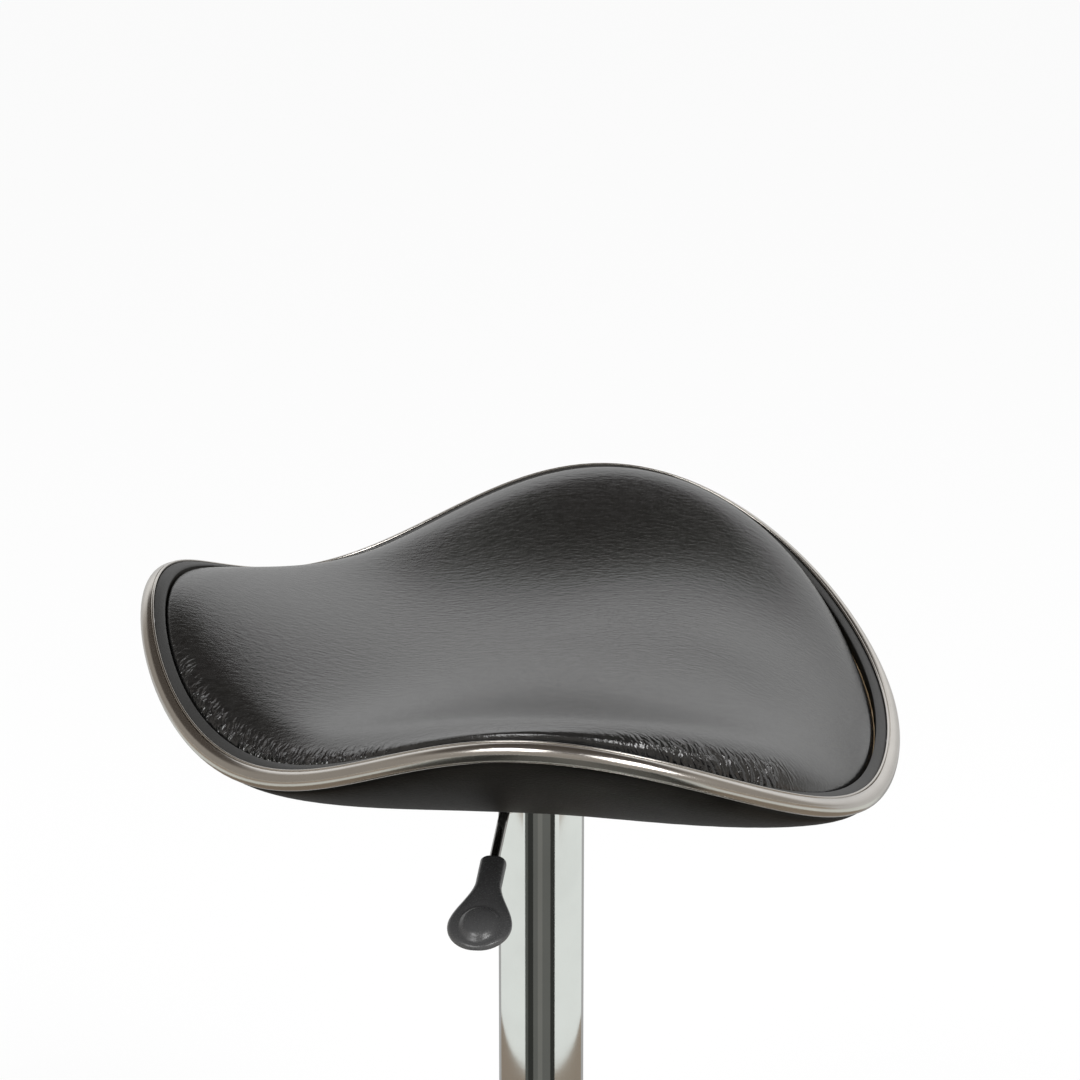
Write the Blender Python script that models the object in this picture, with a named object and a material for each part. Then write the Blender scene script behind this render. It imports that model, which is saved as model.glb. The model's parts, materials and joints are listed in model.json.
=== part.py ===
"""Height-adjustable bar stool with a saddle seat, built as separate solids.

Metres, +Z up. The column stands on the Z axis, the floor is at z = 0 and the sitter faces +X.
The seat is shown at its lowest height.
"""
import math

import bmesh
import bpy
from mathutils import Vector

# Fits between pieces
REST_FIT = 0.0003
RUN_FIT = 0.0003
BOLT_FIT = 0.0004

# Seat outline: a mean radius and the waves that turn the circle into the saddle's plan
SEAT_RADIUS = 0.2205
PLAN_OVAL = -0.0081
PLAN_WEDGE = -0.0097
PLAN_SQUARE = -0.0022
PLAN_FIVE = 0.0015
SEAT_SETBACK = 0.0026

# Rim heights round the seat, as waves about the mean rim height
RIM_HEIGHT = 0.600
RIM_PITCH = -0.0238
RIM_SADDLE = -0.0194
RIM_WING = -0.0178
RIM_CORNER = 0.0143

# Cushion
CUSHION_CROWN = 0.0109
CROWN_FRONT = 0.0261
CROWN_SIDE = -0.0129
CROWN_SHARPNESS = 7.6
MIDDLE_DIP = 0.0110
SADDLE_LEVELLING = 0.53
WING_LEVELLING = 1.65
EDGE_ROLL = 0.0030
ROLL_SHARPNESS = 14.0
CUSHION_GROOVE = 0.0012
CUSHION_DEPTH = 0.0050
BED_DISH = 0.0090
LEAST_CROWN = 0.0040

# Moulded seat board and the shell under it
BOARD_THICKNESS = 0.0070
BOARD_EDGE_FIT = 0.0005
BAND_WIDTH = 0.0065
SHELL_RIM_DEPTH = 0.0130
SHELL_LEDGE = 0.0070
SHELL_FLOOR_LEVEL = -0.0660
SHELL_WALL = 0.0035
SHELL_FLAT_RADIUS = 0.0800
FULLNESS_SIDE = 1.25
FULLNESS_FRONT = 1.80
FULLNESS_BACK = 1.30
WELL_RADIUS = 0.0600
WELL_DEPTH = 0.0180
BOSS_RADIUS = 0.0080

# Chrome edge trim
TRIM_BULGE = 0.0055
TRIM_HEIGHT = 0.0110
TRIM_LIP_WIDTH = 0.0014
TRIM_LIP_RISE = 0.0008
TRIM_GROOVE = 0.0007
BARB_LENGTH = 0.0036
BARB_THICKNESS = 0.0016

# Seat plate, taper socket and screws
PLATE_SIZE = 0.1400
PLATE_THICKNESS = 0.0025
PLATE_CORNER = 0.0150
PLATE_HOLE_RADIUS = 0.0160
SCREW_SPACING = 0.1100
SCREW_RADIUS = 0.0040
SCREW_HEAD_RADIUS = 0.0075
SCREW_HEAD_HEIGHT = 0.0045
SCREW_HEAD_EDGE = 0.0010
SCREW_DOME_SHARE = 0.75
TEE_FLANGE_RADIUS = 0.0110
TEE_FLANGE_THICKNESS = 0.0015
TEE_BARREL_RADIUS = 0.0055
TEE_BARREL_LENGTH = 0.0024
TEE_RECESS = 0.0038
SOCKET_RADIUS = 0.0190
SOCKET_LENGTH = 0.0300
LEVER_NOTCH = 0.0030

# Release lever
ROD_RADIUS = 0.0030
ROD_BEND = 0.0075
LEVER_OFFSET = -0.0150
LEVER_REACH = 0.0520
LEVER_PIVOT_LEVEL = -0.0751
LEVER_DROOP = math.radians(15.0)
LEVER_YAW = math.radians(2.4)
TONGUE_LENGTH = 0.0190
BUSH_RADIUS = 0.0042
BUSH_FLANGE_RADIUS = 0.0056
BUSH_FLANGE_THICKNESS = 0.0015
BUSH_PLAY = 0.0004
BRACKET_THICKNESS = 0.0025
BRACKET_WIDTH = 0.0340
BRACKET_CLEARANCE = 0.0009
SLOT_HALF_WIDTH = 0.0062
SLOT_OVERRUN = 0.0080
PADDLE_START = 0.0505
PADDLE_LENGTH = 0.0805
PADDLE_NECK = 0.0070
PADDLE_HALF_WIDTH = 0.0179
PADDLE_NECK_DEPTH = 0.0056
PADDLE_BLADE_DEPTH = 0.0042
PADDLE_SOCKET = 0.0200
PADDLE_NECK_END = 0.16
PADDLE_WIDEST = 0.70
PADDLE_TAPER_END = 0.50
PADDLE_MOUTH_SHARE = 0.85
PADDLE_TIP_SHARE = 0.12
PADDLE_TIP_SHARPNESS = 12
PADDLE_SQUARENESS = 0.8
THUMB_PAD_PLACE = 0.64
THUMB_PAD_RISE = 0.0022
THUMB_PAD_LENGTH = 0.0270
THUMB_PAD_WIDTH = 0.0215

# Gas lift
TUBE_RADIUS = 0.0250
TUBE_WALL = 0.0020
TUBE_TOP_DROP = 0.0860
TUBE_FLOOR = 0.0040
FLOOR_HOLE_RADIUS = 0.0070
CYLINDER_RADIUS = 0.0140
CYLINDER_WALL = 0.0020
CYLINDER_BOTTOM = 0.1000
TAPER_SINK = 0.0020
TAPER_DROP = 0.0007
CROWN_PLUG = 0.0320
PIN_RADIUS = 0.0040
PIN_GAP = 0.0004
PIN_TRAVEL = 0.0056
LIFT_TRAVEL = 0.2000
PISTON_MARGIN = 0.0270
PISTON_LENGTH = 0.0150
PISTON_WAIST_SHARE = 0.80
SPIGOT_SHARE = 0.60
PISTON_ROD_RADIUS = 0.0050
ROD_SHOULDER_RADIUS = 0.0075
ROD_SHOULDER_HEIGHT = 0.0040
SEAL_LENGTH = 0.0180
BUSHING_LENGTH = 0.0970
BUSHING_RECESS = 0.0170
RACE_RADIUS = 0.0170
RACE_THICKNESS = 0.0025
BALL_RADIUS = 0.0025
BALL_COUNT = 8
BALL_CIRCLE = 0.0120
CAGE_THICKNESS = 0.0020
BUFFER_RADIUS = 0.0130
BUFFER_WAIST_SHARE = 0.85
CLIP_RADIUS = 0.0110
CLIP_THICKNESS = 0.0023
CLIP_GROOVE = 0.0010

# Base
BASE_RADIUS = 0.2016
BASE_EDGE_HEIGHT = 0.0120
BASE_DOME_RISE = 0.0140
BASE_NECK_RADIUS = 0.0310
BASE_NECK_HEIGHT = 0.0780
TRUMPET_REACH = 0.0220
COVER_WALL = 0.0016
COVER_CORNER = 0.0005
COVER_CROWDING = 1.7
RING_THICKNESS = 0.0037
RING_WIDTH = 0.0300
RING_OVERHANG = 0.0010
RING_LIP_HEIGHT = 0.0043
RING_LIP_WIDTH = 0.0100
BALLAST_THICKNESS = 0.0060
BALLAST_BOSS_RADIUS = 0.0620
BALLAST_BOSS_RISE = 0.0040
HUB_FLANGE_RADIUS = 0.0480
HUB_FLANGE_THICKNESS = 0.0060
HUB_SOCKET_HEIGHT = 0.0400
HUB_SOCKET_WALL = 0.0037
HUB_BORE_RADIUS = 0.0160
HUB_BOLT_CIRCLE = 0.0370
HUB_BOLT_RADIUS = 0.0040
HUB_BOLT_HEAD_RADIUS = 0.0065
HUB_BOLT_HEAD_HEIGHT = 0.0045
NECK_RING_RADIUS = 0.0335
NECK_RING_HEIGHT = 0.0080

# Footrest
FOOTREST_HEIGHT = 0.2150
FOOTREST_TUBE_RADIUS = 0.0110
FOOTREST_HALF_WIDTH = 0.1650
FOOTREST_CORNER = 0.0460
COLLAR_RADIUS = 0.0340
COLLAR_HEIGHT = 0.0400
COLLAR_SCREW_SPACING = 0.0200
COLLAR_SCREW_RADIUS = 0.0040
COLLAR_SCREW_HEAD_RADIUS = 0.0065
COLLAR_SCREW_HEAD_LENGTH = 0.0070

# Facets
SEAT_SIDES = 56
BASE_SIDES = 36
TURNED_SIDES = 32
INNER_SIDES = 24
SMALL_SIDES = 12
PADDLE_SIDES = 24
BOWL_STEPS = 6
INNER_BOWL_STEPS = 3
BEAD_STEPS = 8
COVER_STEPS = 8
BEND_STEPS = 6
FOOTREST_STEPS = 11
CORNER_STEPS = 4
SMOOTH_ANGLE = math.radians(35.0)
FLAT_LIMIT = 0.000001


def clear_scene():
    for item in list(bpy.data.objects):
        bpy.data.objects.remove(item, do_unlink=True)


def finish_material(name, colour, roughness, metallic):
    """A Principled material with one colour."""
    material = bpy.data.materials.new(name)
    material.use_nodes = True
    shader = material.node_tree.nodes["Principled BSDF"]
    shader.inputs["Base Color"].default_value = (*colour, 1.0)
    shader.inputs["Roughness"].default_value = roughness
    shader.inputs["Metallic"].default_value = metallic
    return material


FINISHES = {
    "leatherette": ((0.055, 0.055, 0.056), 0.45, 0.0),
    "moulded": ((0.030, 0.030, 0.031), 0.50, 0.0),
    "handle": ((0.025, 0.025, 0.026), 0.45, 0.0),
    "chrome": ((0.80, 0.80, 0.79), 0.08, 1.0),
    "black_steel": ((0.035, 0.035, 0.036), 0.45, 0.8),
    "bright_steel": ((0.56, 0.56, 0.57), 0.30, 1.0),
    "plywood": ((0.55, 0.40, 0.24), 0.70, 0.0),
    "acetal": ((0.75, 0.74, 0.70), 0.45, 0.0),
    "rubber": ((0.020, 0.020, 0.020), 0.85, 0.0),
    "iron": ((0.10, 0.10, 0.10), 0.70, 0.9),
}


def add_piece(name, mesh_builder, finish, parent=None):
    """Turn a finished bmesh into a named object with a material of its own."""
    mesh = bpy.data.meshes.new(name)
    bmesh.ops.recalc_face_normals(mesh_builder, faces=mesh_builder.faces)
    mesh_builder.to_mesh(mesh)
    mesh_builder.free()
    mesh.shade_smooth()
    mesh.set_sharp_from_angle(angle=SMOOTH_ANGLE)
    mesh.materials.append(finish_material(name, *FINISHES[finish]))
    piece = bpy.data.objects.new(name, mesh)
    bpy.context.scene.collection.objects.link(piece)
    piece.parent = parent
    return piece


def add_axis(name, location, rotation=(0.0, 0.0, 0.0)):
    """An empty on a joint's axis, which carries the pieces that move together."""
    axis = bpy.data.objects.new(name, None)
    bpy.context.scene.collection.objects.link(axis)
    axis.location = location
    axis.rotation_euler = rotation
    return axis


def split_corners(corners):
    """Split a bent four-cornered face along its shorter diagonal, so resting faces match."""
    if len(corners) < 4:
        return [corners]
    first, second, third, fourth = corners
    normal = (third.co - first.co).cross(fourth.co - second.co).normalized()
    if abs((second.co - first.co).dot(normal)) < FLAT_LIMIT:
        return [corners]
    if (first.co - third.co).length <= (second.co - fourth.co).length:
        return [(first, second, third), (first, third, fourth)]
    return [(first, second, fourth), (second, third, fourth)]


def loft(rings, closed=False):
    """Skin a run of rings. A ring of one point is a pole, and a closed run joins its ends."""
    builder = bmesh.new()
    loops = [[builder.verts.new(point) for point in ring] for ring in rings]
    spans = list(zip(loops, loops[1:]))
    if closed:
        spans.append((loops[-1], loops[0]))
    for first, second in spans:
        count = max(len(first), len(second))
        for index in range(count):
            after = (index + 1) % count
            corners = []
            for loop, step in ((first, index), (first, after), (second, after), (second, index)):
                vertex = loop[step % len(loop)]
                if vertex not in corners:
                    corners.append(vertex)
            for face in split_corners(corners):
                builder.faces.new(face)
    return builder


def turned(profile, sides=TURNED_SIDES, closed=False):
    """A solid of revolution about Z from (radius, height) points."""
    rings = []
    for radius, height in profile:
        if radius == 0.0:
            rings.append([(0.0, 0.0, height)])
            continue
        ring = []
        for index in range(sides):
            angle = math.tau * index / sides
            ring.append((radius * math.cos(angle), radius * math.sin(angle), height))
        rings.append(ring)
    return loft(rings, closed)


def tube_profile(inner, outer, bottom, top):
    return [(inner, bottom), (outer, bottom), (outer, top), (inner, top)]


def rod_profile(radius, bottom, top):
    return [(0.0, bottom), (radius, bottom), (radius, top), (0.0, top)]


def swept_tube(path, radius):
    """A round bar along a path of points, with flat ends."""
    rings = [[path[0]]]
    side_hint = Vector((0.0, 0.0, 1.0))
    for index, point in enumerate(path):
        before = path[max(index - 1, 0)]
        after = path[min(index + 1, len(path) - 1)]
        along = (after - before).normalized()
        across = along.cross(side_hint).normalized()
        up = across.cross(along)
        ring = []
        for step in range(SMALL_SIDES):
            angle = math.tau * step / SMALL_SIDES
            ring.append(point + radius * (math.cos(angle) * across + math.sin(angle) * up))
        rings.append(ring)
    rings.append([path[-1]])
    return loft(rings)


def arc_points(centre, radius, start, end, steps):
    points = []
    for step in range(steps + 1):
        angle = start + (end - start) * step / steps
        points.append(centre + radius * Vector((math.cos(angle), math.sin(angle), 0.0)))
    return points


def box(low, high):
    builder = bmesh.new()
    bmesh.ops.create_cube(builder, size=1.0)
    low, high = Vector(low), Vector(high)
    for vertex in builder.verts:
        shares = [part + 0.5 for part in vertex.co]
        vertex.co = [a + (b - a) * share for a, b, share in zip(low, high, shares)]
    return builder


def combine(target, tool, operation="DIFFERENCE"):
    """Cut or join one piece with a tool that stays out of the finished part."""
    tool.hide_render = True
    tool.display_type = "WIRE"
    modifier = target.modifiers.new(tool.name, "BOOLEAN")
    modifier.operation = operation
    modifier.object = tool
    modifier.solver = "EXACT"


def place(piece, x, y, z=0.0):
    piece.location = (x, y, z)
    return piece


# Seat surface

SEAT_CENTRE = Vector((-SEAT_SETBACK, 0.0))


def outline_radius(angle):
    waves = ((2, PLAN_OVAL), (3, PLAN_WEDGE), (4, PLAN_SQUARE), (5, PLAN_FIVE))
    return SEAT_RADIUS + sum(size * math.cos(order * angle) for order, size in waves)


def outline(angle):
    return SEAT_CENTRE + outline_radius(angle) * Vector((math.cos(angle), math.sin(angle)))


def inset_outline(angle, inset):
    """The outline moved square to itself, inwards where inset is positive."""
    nudge = 0.001
    tangent = (outline(angle + nudge) - outline(angle - nudge)).normalized()
    return outline(angle) + inset * Vector((-tangent.y, tangent.x))


def saddle_level(point):
    """Height of the saddle surface that the rim spans, about the mean rim height."""
    offset = point - SEAT_CENTRE
    angle = math.atan2(offset.y, offset.x)
    share = offset.length / outline_radius(angle)
    waves = ((1, RIM_PITCH), (2, RIM_SADDLE), (3, RIM_WING), (4, RIM_CORNER))
    return sum(size * share**order * math.cos(order * angle) for order, size in waves)


def bed_level(point):
    """Height of the dished bed that the padding lies on, before it is lowered to its depth."""
    offset = point - SEAT_CENTRE
    share = offset.length / outline_radius(math.atan2(offset.y, offset.x))
    return saddle_level(point) - BED_DISH * (1.0 - share**4)


def crown_rise(angle, share):
    """How far the padding stands above the saddle surface, from its middle to its edge."""
    swell = CUSHION_CROWN + CROWN_FRONT * share * math.cos(angle)
    swell += CROWN_SIDE * share**2 * math.cos(2.0 * angle)
    swell = 0.5 * (swell + math.hypot(swell, LEAST_CROWN))
    dome = math.sqrt(max(0.0, 1.0 - share**CROWN_SHARPNESS))
    roll = math.sqrt(max(0.0, 1.0 - share**ROLL_SHARPNESS))
    dip = MIDDLE_DIP * (1.0 - share**2) ** 2
    levelled = RIM_SADDLE * math.cos(2.0 * angle) * share**2 * (share**SADDLE_LEVELLING - 1.0)
    levelled += RIM_WING * math.cos(3.0 * angle) * share**3 * (share**WING_LEVELLING - 1.0)
    return swell * dome + EDGE_ROLL * roll - dip + levelled


def seat_angles():
    return [math.tau * index / SEAT_SIDES for index in range(SEAT_SIDES)]


def bed_ring(inset, share, drop):
    """A ring of the bed, scaled towards the seat's centre and lowered by drop."""
    ring = []
    for angle in seat_angles():
        edge = inset_outline(angle, inset)
        point = SEAT_CENTRE + share * (edge - SEAT_CENTRE)
        ring.append((point.x, point.y, bed_level(point) - drop))
    return ring


def bed_pole(drop):
    return [(SEAT_CENTRE.x, SEAT_CENTRE.y, -BED_DISH - drop)]


def band_ring(inset):
    """A ring of the moulded band, which carries on the saddle's slope."""
    ring = []
    for angle in seat_angles():
        point = inset_outline(angle, inset)
        ring.append((point.x, point.y, saddle_level(point)))
    return ring


def rim_ring(inset, height):
    """A ring at a distance in from the outline and a height above the rim."""
    ring = []
    for angle in seat_angles():
        point = inset_outline(angle, inset)
        ring.append((point.x, point.y, saddle_level(outline(angle)) + height))
    return ring


def cushion_ring(inset, share):
    ring = []
    for angle in seat_angles():
        edge = inset_outline(angle, inset)
        point = SEAT_CENTRE + share * (edge - SEAT_CENTRE)
        height = saddle_level(point) + crown_rise(angle, share)
        ring.append((point.x, point.y, height))
    return ring


BED_INSET = BAND_WIDTH + SHELL_LEDGE
BED_SHARES = (1.0, 0.80, 0.55, 0.28)


def make_cushion(carrier):
    inset = BAND_WIDTH + CUSHION_GROOVE
    rings = [[(SEAT_CENTRE.x, SEAT_CENTRE.y, crown_rise(0.0, 0.0))]]
    for share in (0.18, 0.36, 0.54, 0.70, 0.82, 0.90, 0.95, 0.98, 1.0):
        rings.append(cushion_ring(inset, share))
    for share in BED_SHARES:
        rings.append(bed_ring(BED_INSET, share, CUSHION_DEPTH))
    rings.append(bed_pole(CUSHION_DEPTH))
    return add_piece("seat_cushion", loft(rings), "leatherette", carrier)


def screw_places():
    half = SCREW_SPACING / 2.0
    return [(half, half), (-half, half), (-half, -half), (half, -half)]


BOARD_DROP = CUSHION_DEPTH + REST_FIT
BOARD_INSET = BAND_WIDTH + BOARD_EDGE_FIT


def board_top_at(x, y):
    return bed_level(Vector((x, y))) - BOARD_DROP


def make_board(carrier):
    under = BOARD_DROP + BOARD_THICKNESS
    rings = [bed_pole(BOARD_DROP)]
    for share in reversed(BED_SHARES):
        rings.append(bed_ring(BED_INSET, share, BOARD_DROP))
    rings += [bed_ring(BOARD_INSET, 1.0, BOARD_DROP), bed_ring(BOARD_INSET, 1.0, under)]
    for share in BED_SHARES:
        rings.append(bed_ring(BED_INSET, share, under))
    rings.append(bed_pole(under))
    board = add_piece("seat_board", loft(rings), "plywood", carrier)
    for index, (x, y) in enumerate(screw_places(), 1):
        seat = board_top_at(x, y) - TEE_RECESS
        flange_hole = TEE_FLANGE_RADIUS + BOLT_FIT
        barrel_hole = TEE_BARREL_RADIUS + BOLT_FIT
        above = seat + 2.0 * BOARD_THICKNESS
        below = seat - 2.0 * BOARD_THICKNESS
        steps = [(0.0, below), (barrel_hole, below), (barrel_hole, seat), (flange_hole, seat)]
        steps += [(flange_hole, above), (0.0, above)]
        tool = add_piece(f"tee_seat_{index}", turned(steps, SMALL_SIDES), "plywood", carrier)
        combine(board, place(tool, x, y))
    return board


def bowl_fullness(angle):
    """Power of the bowl's superellipse, which is leaner at the sides than at the ends."""
    end = FULLNESS_FRONT if math.cos(angle) > 0.0 else FULLNESS_BACK
    return FULLNESS_SIDE + (end - FULLNESS_SIDE) * math.cos(angle) ** 2


def shell_skin(inset, top_drop, flat_radius, floor, steps):
    """Rings of the shell's bowl, from under the rim down to its flat floor."""
    rings = []
    for step in range(steps + 1):
        turn = 0.5 * math.pi * step / steps
        ring = []
        for angle in seat_angles():
            power = 2.0 / bowl_fullness(angle)
            out = max(0.0, math.cos(turn)) ** power
            down = math.sin(turn) ** power
            edge = inset_outline(angle, inset)
            flat = flat_radius * Vector((math.cos(angle), math.sin(angle)))
            point = flat + out * (edge - flat)
            top = saddle_level(outline(angle)) - top_drop
            ring.append((point.x, point.y, top + down * (floor - top)))
        rings.append(ring)
    return rings


def flat_ring(radius, height):
    ring = []
    for angle in seat_angles():
        ring.append((radius * math.cos(angle), radius * math.sin(angle), height))
    return ring


BARB_LEVEL = -TRIM_HEIGHT / 2.0
LEDGE_DROP = BOARD_DROP + BOARD_THICKNESS + REST_FIT
BOSS_EDGES = (-BOSS_RADIUS, BOSS_RADIUS)


def make_shell(carrier):
    """Moulded shell: a band round the cushion, a ledge for the board, a bowl and a lever well."""
    floor = SHELL_FLOOR_LEVEL
    ceiling = floor + WELL_DEPTH
    face = REST_FIT
    slot = BARB_THICKNESS / 2.0 + REST_FIT
    slot_end = face + BARB_LENGTH + REST_FIT
    well_outer = WELL_RADIUS + SHELL_WALL
    rings = [[(0.0, 0.0, ceiling + SHELL_WALL)]]
    rings += [flat_ring(well_outer, ceiling + SHELL_WALL), flat_ring(well_outer, floor + SHELL_WALL)]
    inner_flat = SHELL_FLAT_RADIUS - SHELL_WALL
    inner = shell_skin(BED_INSET, LEDGE_DROP, inner_flat, floor + SHELL_WALL, INNER_BOWL_STEPS)
    rings += list(reversed(inner[1:]))
    rings.append(bed_ring(BED_INSET, 1.0, LEDGE_DROP))
    rings.append(bed_ring(BAND_WIDTH, 1.0, LEDGE_DROP))
    rings += [band_ring(BAND_WIDTH), band_ring(face)]
    rings += [rim_ring(face, BARB_LEVEL + slot), rim_ring(slot_end, BARB_LEVEL + slot)]
    rings += [rim_ring(slot_end, BARB_LEVEL - slot), rim_ring(face, BARB_LEVEL - slot)]
    rings += shell_skin(face, SHELL_RIM_DEPTH, SHELL_FLAT_RADIUS, floor, BOWL_STEPS)
    rings += [flat_ring(WELL_RADIUS, floor), flat_ring(WELL_RADIUS, ceiling)]
    rings.append([(0.0, 0.0, ceiling)])
    shell = add_piece("seat_shell", loft(rings), "moulded", carrier)
    for index, (x, y) in enumerate(screw_places(), 1):
        around = [board_top_at(x + dx, y + dy) for dx in BOSS_EDGES for dy in BOSS_EDGES]
        boss_top = min(around) - BOARD_THICKNESS - 2.0 * REST_FIT
        boss = rod_profile(BOSS_RADIUS, floor + SHELL_WALL / 2.0, boss_top)
        post = add_piece(f"boss_{index}", turned(boss, SMALL_SIDES), "moulded", carrier)
        combine(shell, place(post, x, y), "UNION")
    for index, (x, y) in enumerate(screw_places(), 1):
        bore = rod_profile(SCREW_RADIUS + BOLT_FIT, floor - SHELL_WALL, BOARD_THICKNESS)
        drill = add_piece(f"boss_bore_{index}", turned(bore, SMALL_SIDES), "moulded", carrier)
        combine(shell, place(drill, x, y))
    return shell


def make_trim(carrier):
    """Half-round chrome bead with a thin inner lip and a barb pushed into the shell's slot."""
    middle = BARB_LEVEL
    half = TRIM_HEIGHT / 2.0
    lip = TRIM_LIP_WIDTH
    flank = lip + TRIM_GROOVE
    profile = [(0.0, TRIM_LIP_RISE), (-lip, TRIM_LIP_RISE), (-lip - TRIM_GROOVE / 2.0, 0.0)]
    for step in range(BEAD_STEPS + 1):
        turn = math.pi * step / BEAD_STEPS
        profile.append((-flank - TRIM_BULGE * math.sin(turn), middle + half * math.cos(turn)))
    barb = BARB_THICKNESS / 2.0
    profile += [(0.0, middle - half), (0.0, middle - barb), (BARB_LENGTH, middle - barb)]
    profile += [(BARB_LENGTH, middle + barb), (0.0, middle + barb)]
    rings = [rim_ring(inset, height) for inset, height in profile]
    return add_piece("edge_trim", loft(rings, closed=True), "chrome", carrier)


# Seat plate and its fasteners

PLATE_TOP = SHELL_FLOOR_LEVEL - REST_FIT
PLATE_BOTTOM = PLATE_TOP - PLATE_THICKNESS
SOCKET_TOP = PLATE_BOTTOM - REST_FIT
LEVER_PIVOT = Vector((LEVER_OFFSET, -LEVER_REACH, LEVER_PIVOT_LEVEL))


def make_plate(carrier):
    half = PLATE_SIZE / 2.0
    plate = add_piece(
        "seat_plate", box((-half, -half, PLATE_BOTTOM), (half, half, PLATE_TOP)), "black_steel", carrier
    )
    bevel = plate.modifiers.new("corners", "BEVEL")
    bevel.width = PLATE_CORNER
    bevel.segments = CORNER_STEPS
    bevel.limit_method = "WEIGHT"
    weights = plate.data.attributes.new("bevel_weight_edge", "FLOAT", "EDGE")
    for edge in plate.data.edges:
        ends = [plate.data.vertices[index].co for index in edge.vertices]
        upright = abs(ends[0].z - ends[1].z) > PLATE_THICKNESS / 2.0
        weights.data[edge.index].value = 1.0 if upright else 0.0
    low, high = PLATE_BOTTOM - PLATE_THICKNESS, PLATE_TOP + PLATE_THICKNESS
    hole = turned(rod_profile(PLATE_HOLE_RADIUS, low, high), INNER_SIDES)
    combine(plate, add_piece("plate_hole", hole, "black_steel", carrier))
    slot_end = LEVER_REACH + SLOT_OVERRUN
    slot_low = (LEVER_OFFSET - SLOT_HALF_WIDTH, -slot_end, low)
    slot_high = (LEVER_OFFSET + SLOT_HALF_WIDTH, 0.0, high)
    slot = box(slot_low, slot_high)
    combine(plate, add_piece("plate_slot", slot, "black_steel", carrier))
    for index, (x, y) in enumerate(screw_places(), 1):
        bore = turned(rod_profile(SCREW_RADIUS + BOLT_FIT, low, high), SMALL_SIDES)
        drill = add_piece(f"plate_bore_{index}", bore, "black_steel", carrier)
        combine(plate, place(drill, x, y))
    return plate


def make_socket(carrier):
    """Taper socket under the plate, notched where the lever swings over it."""
    bottom = SOCKET_TOP - SOCKET_LENGTH
    bore_top = CYLINDER_RADIUS - TAPER_DROP + REST_FIT
    bore_bottom = CYLINDER_RADIUS + REST_FIT
    profile = [(bore_bottom, bottom), (SOCKET_RADIUS, bottom), (SOCKET_RADIUS, SOCKET_TOP)]
    profile.append((bore_top, SOCKET_TOP))
    socket = add_piece("taper_socket", turned(profile, closed=True), "black_steel", carrier)
    low = (-2.0 * SOCKET_RADIUS, -2.0 * SOCKET_RADIUS, SOCKET_TOP - LEVER_NOTCH)
    high = (LEVER_OFFSET + SLOT_HALF_WIDTH, SLOT_HALF_WIDTH, SOCKET_TOP + LEVER_NOTCH)
    combine(socket, add_piece("lever_notch", box(low, high), "black_steel", carrier))
    return socket


def make_plate_fasteners(carrier):
    head_top = PLATE_BOTTOM - REST_FIT
    head_bottom = head_top - SCREW_HEAD_HEIGHT
    for index, (x, y) in enumerate(screw_places(), 1):
        seat = board_top_at(x, y) - TEE_RECESS
        tip = seat + TEE_FLANGE_THICKNESS
        dome = SCREW_HEAD_RADIUS * SCREW_DOME_SHARE
        screw = [(0.0, head_bottom), (dome, head_bottom), (SCREW_HEAD_RADIUS, head_top - SCREW_HEAD_EDGE)]
        screw += [(SCREW_HEAD_RADIUS, head_top), (SCREW_RADIUS, head_top)]
        screw += [(SCREW_RADIUS, tip), (0.0, tip)]
        bolt = add_piece(f"plate_screw_{index}", turned(screw, SMALL_SIDES), "black_steel", carrier)
        place(bolt, x, y)
        bore = SCREW_RADIUS + REST_FIT
        flange_bottom = seat + REST_FIT
        flange_top = flange_bottom + TEE_FLANGE_THICKNESS
        barrel_bottom = flange_bottom - TEE_BARREL_LENGTH
        nut = [(bore, barrel_bottom), (TEE_BARREL_RADIUS, barrel_bottom)]
        nut += [(TEE_BARREL_RADIUS, flange_bottom), (TEE_FLANGE_RADIUS, flange_bottom)]
        nut += [(TEE_FLANGE_RADIUS, flange_top), (bore, flange_top)]
        tee = add_piece(f"tee_nut_{index}", turned(nut, SMALL_SIDES, True), "bright_steel", carrier)
        place(tee, x, y)


def make_lever_bracket(carrier):
    """Tab under the plate, square to the lever, with the hole that its bush rocks in."""
    along = Vector((0.0, -math.cos(LEVER_DROOP), -math.sin(LEVER_DROOP)))
    square = Vector((0.0, math.sin(LEVER_DROOP), -math.cos(LEVER_DROOP)))
    half = BRACKET_THICKNESS / 2.0
    hole = BUSH_RADIUS + BUSH_PLAY
    foot = hole + BRACKET_CLEARANCE
    top = PLATE_BOTTOM - REST_FIT
    rings = []
    for side in (-0.5, 0.5):
        x = LEVER_OFFSET + side * BRACKET_WIDTH
        ring = []
        for face in (-half, half):
            corner = LEVER_PIVOT + face * along
            rise = (top - corner.z) / -square.z
            ring.append((x, corner.y - rise * square.y, top))
        for face in (half, -half):
            corner = LEVER_PIVOT + face * along + foot * square
            ring.append((x, corner.y, corner.z))
        rings.append(ring)
    builder = bmesh.new()
    loops = [[builder.verts.new(point) for point in ring] for ring in rings]
    for index in range(4):
        after = (index + 1) % 4
        builder.faces.new((loops[0][index], loops[0][after], loops[1][after], loops[1][index]))
    builder.faces.new(loops[0])
    builder.faces.new(loops[1])
    bracket = add_piece("lever_bracket", builder, "black_steel", carrier)
    reach = 3.0 * BRACKET_THICKNESS
    path = [LEVER_PIVOT - reach * along, LEVER_PIVOT + reach * along]
    drill = add_piece("bracket_hole", swept_tube(path, hole), "black_steel", carrier)
    combine(bracket, drill)
    return bracket


# Release lever, built along -Y of the pivot empty


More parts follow.
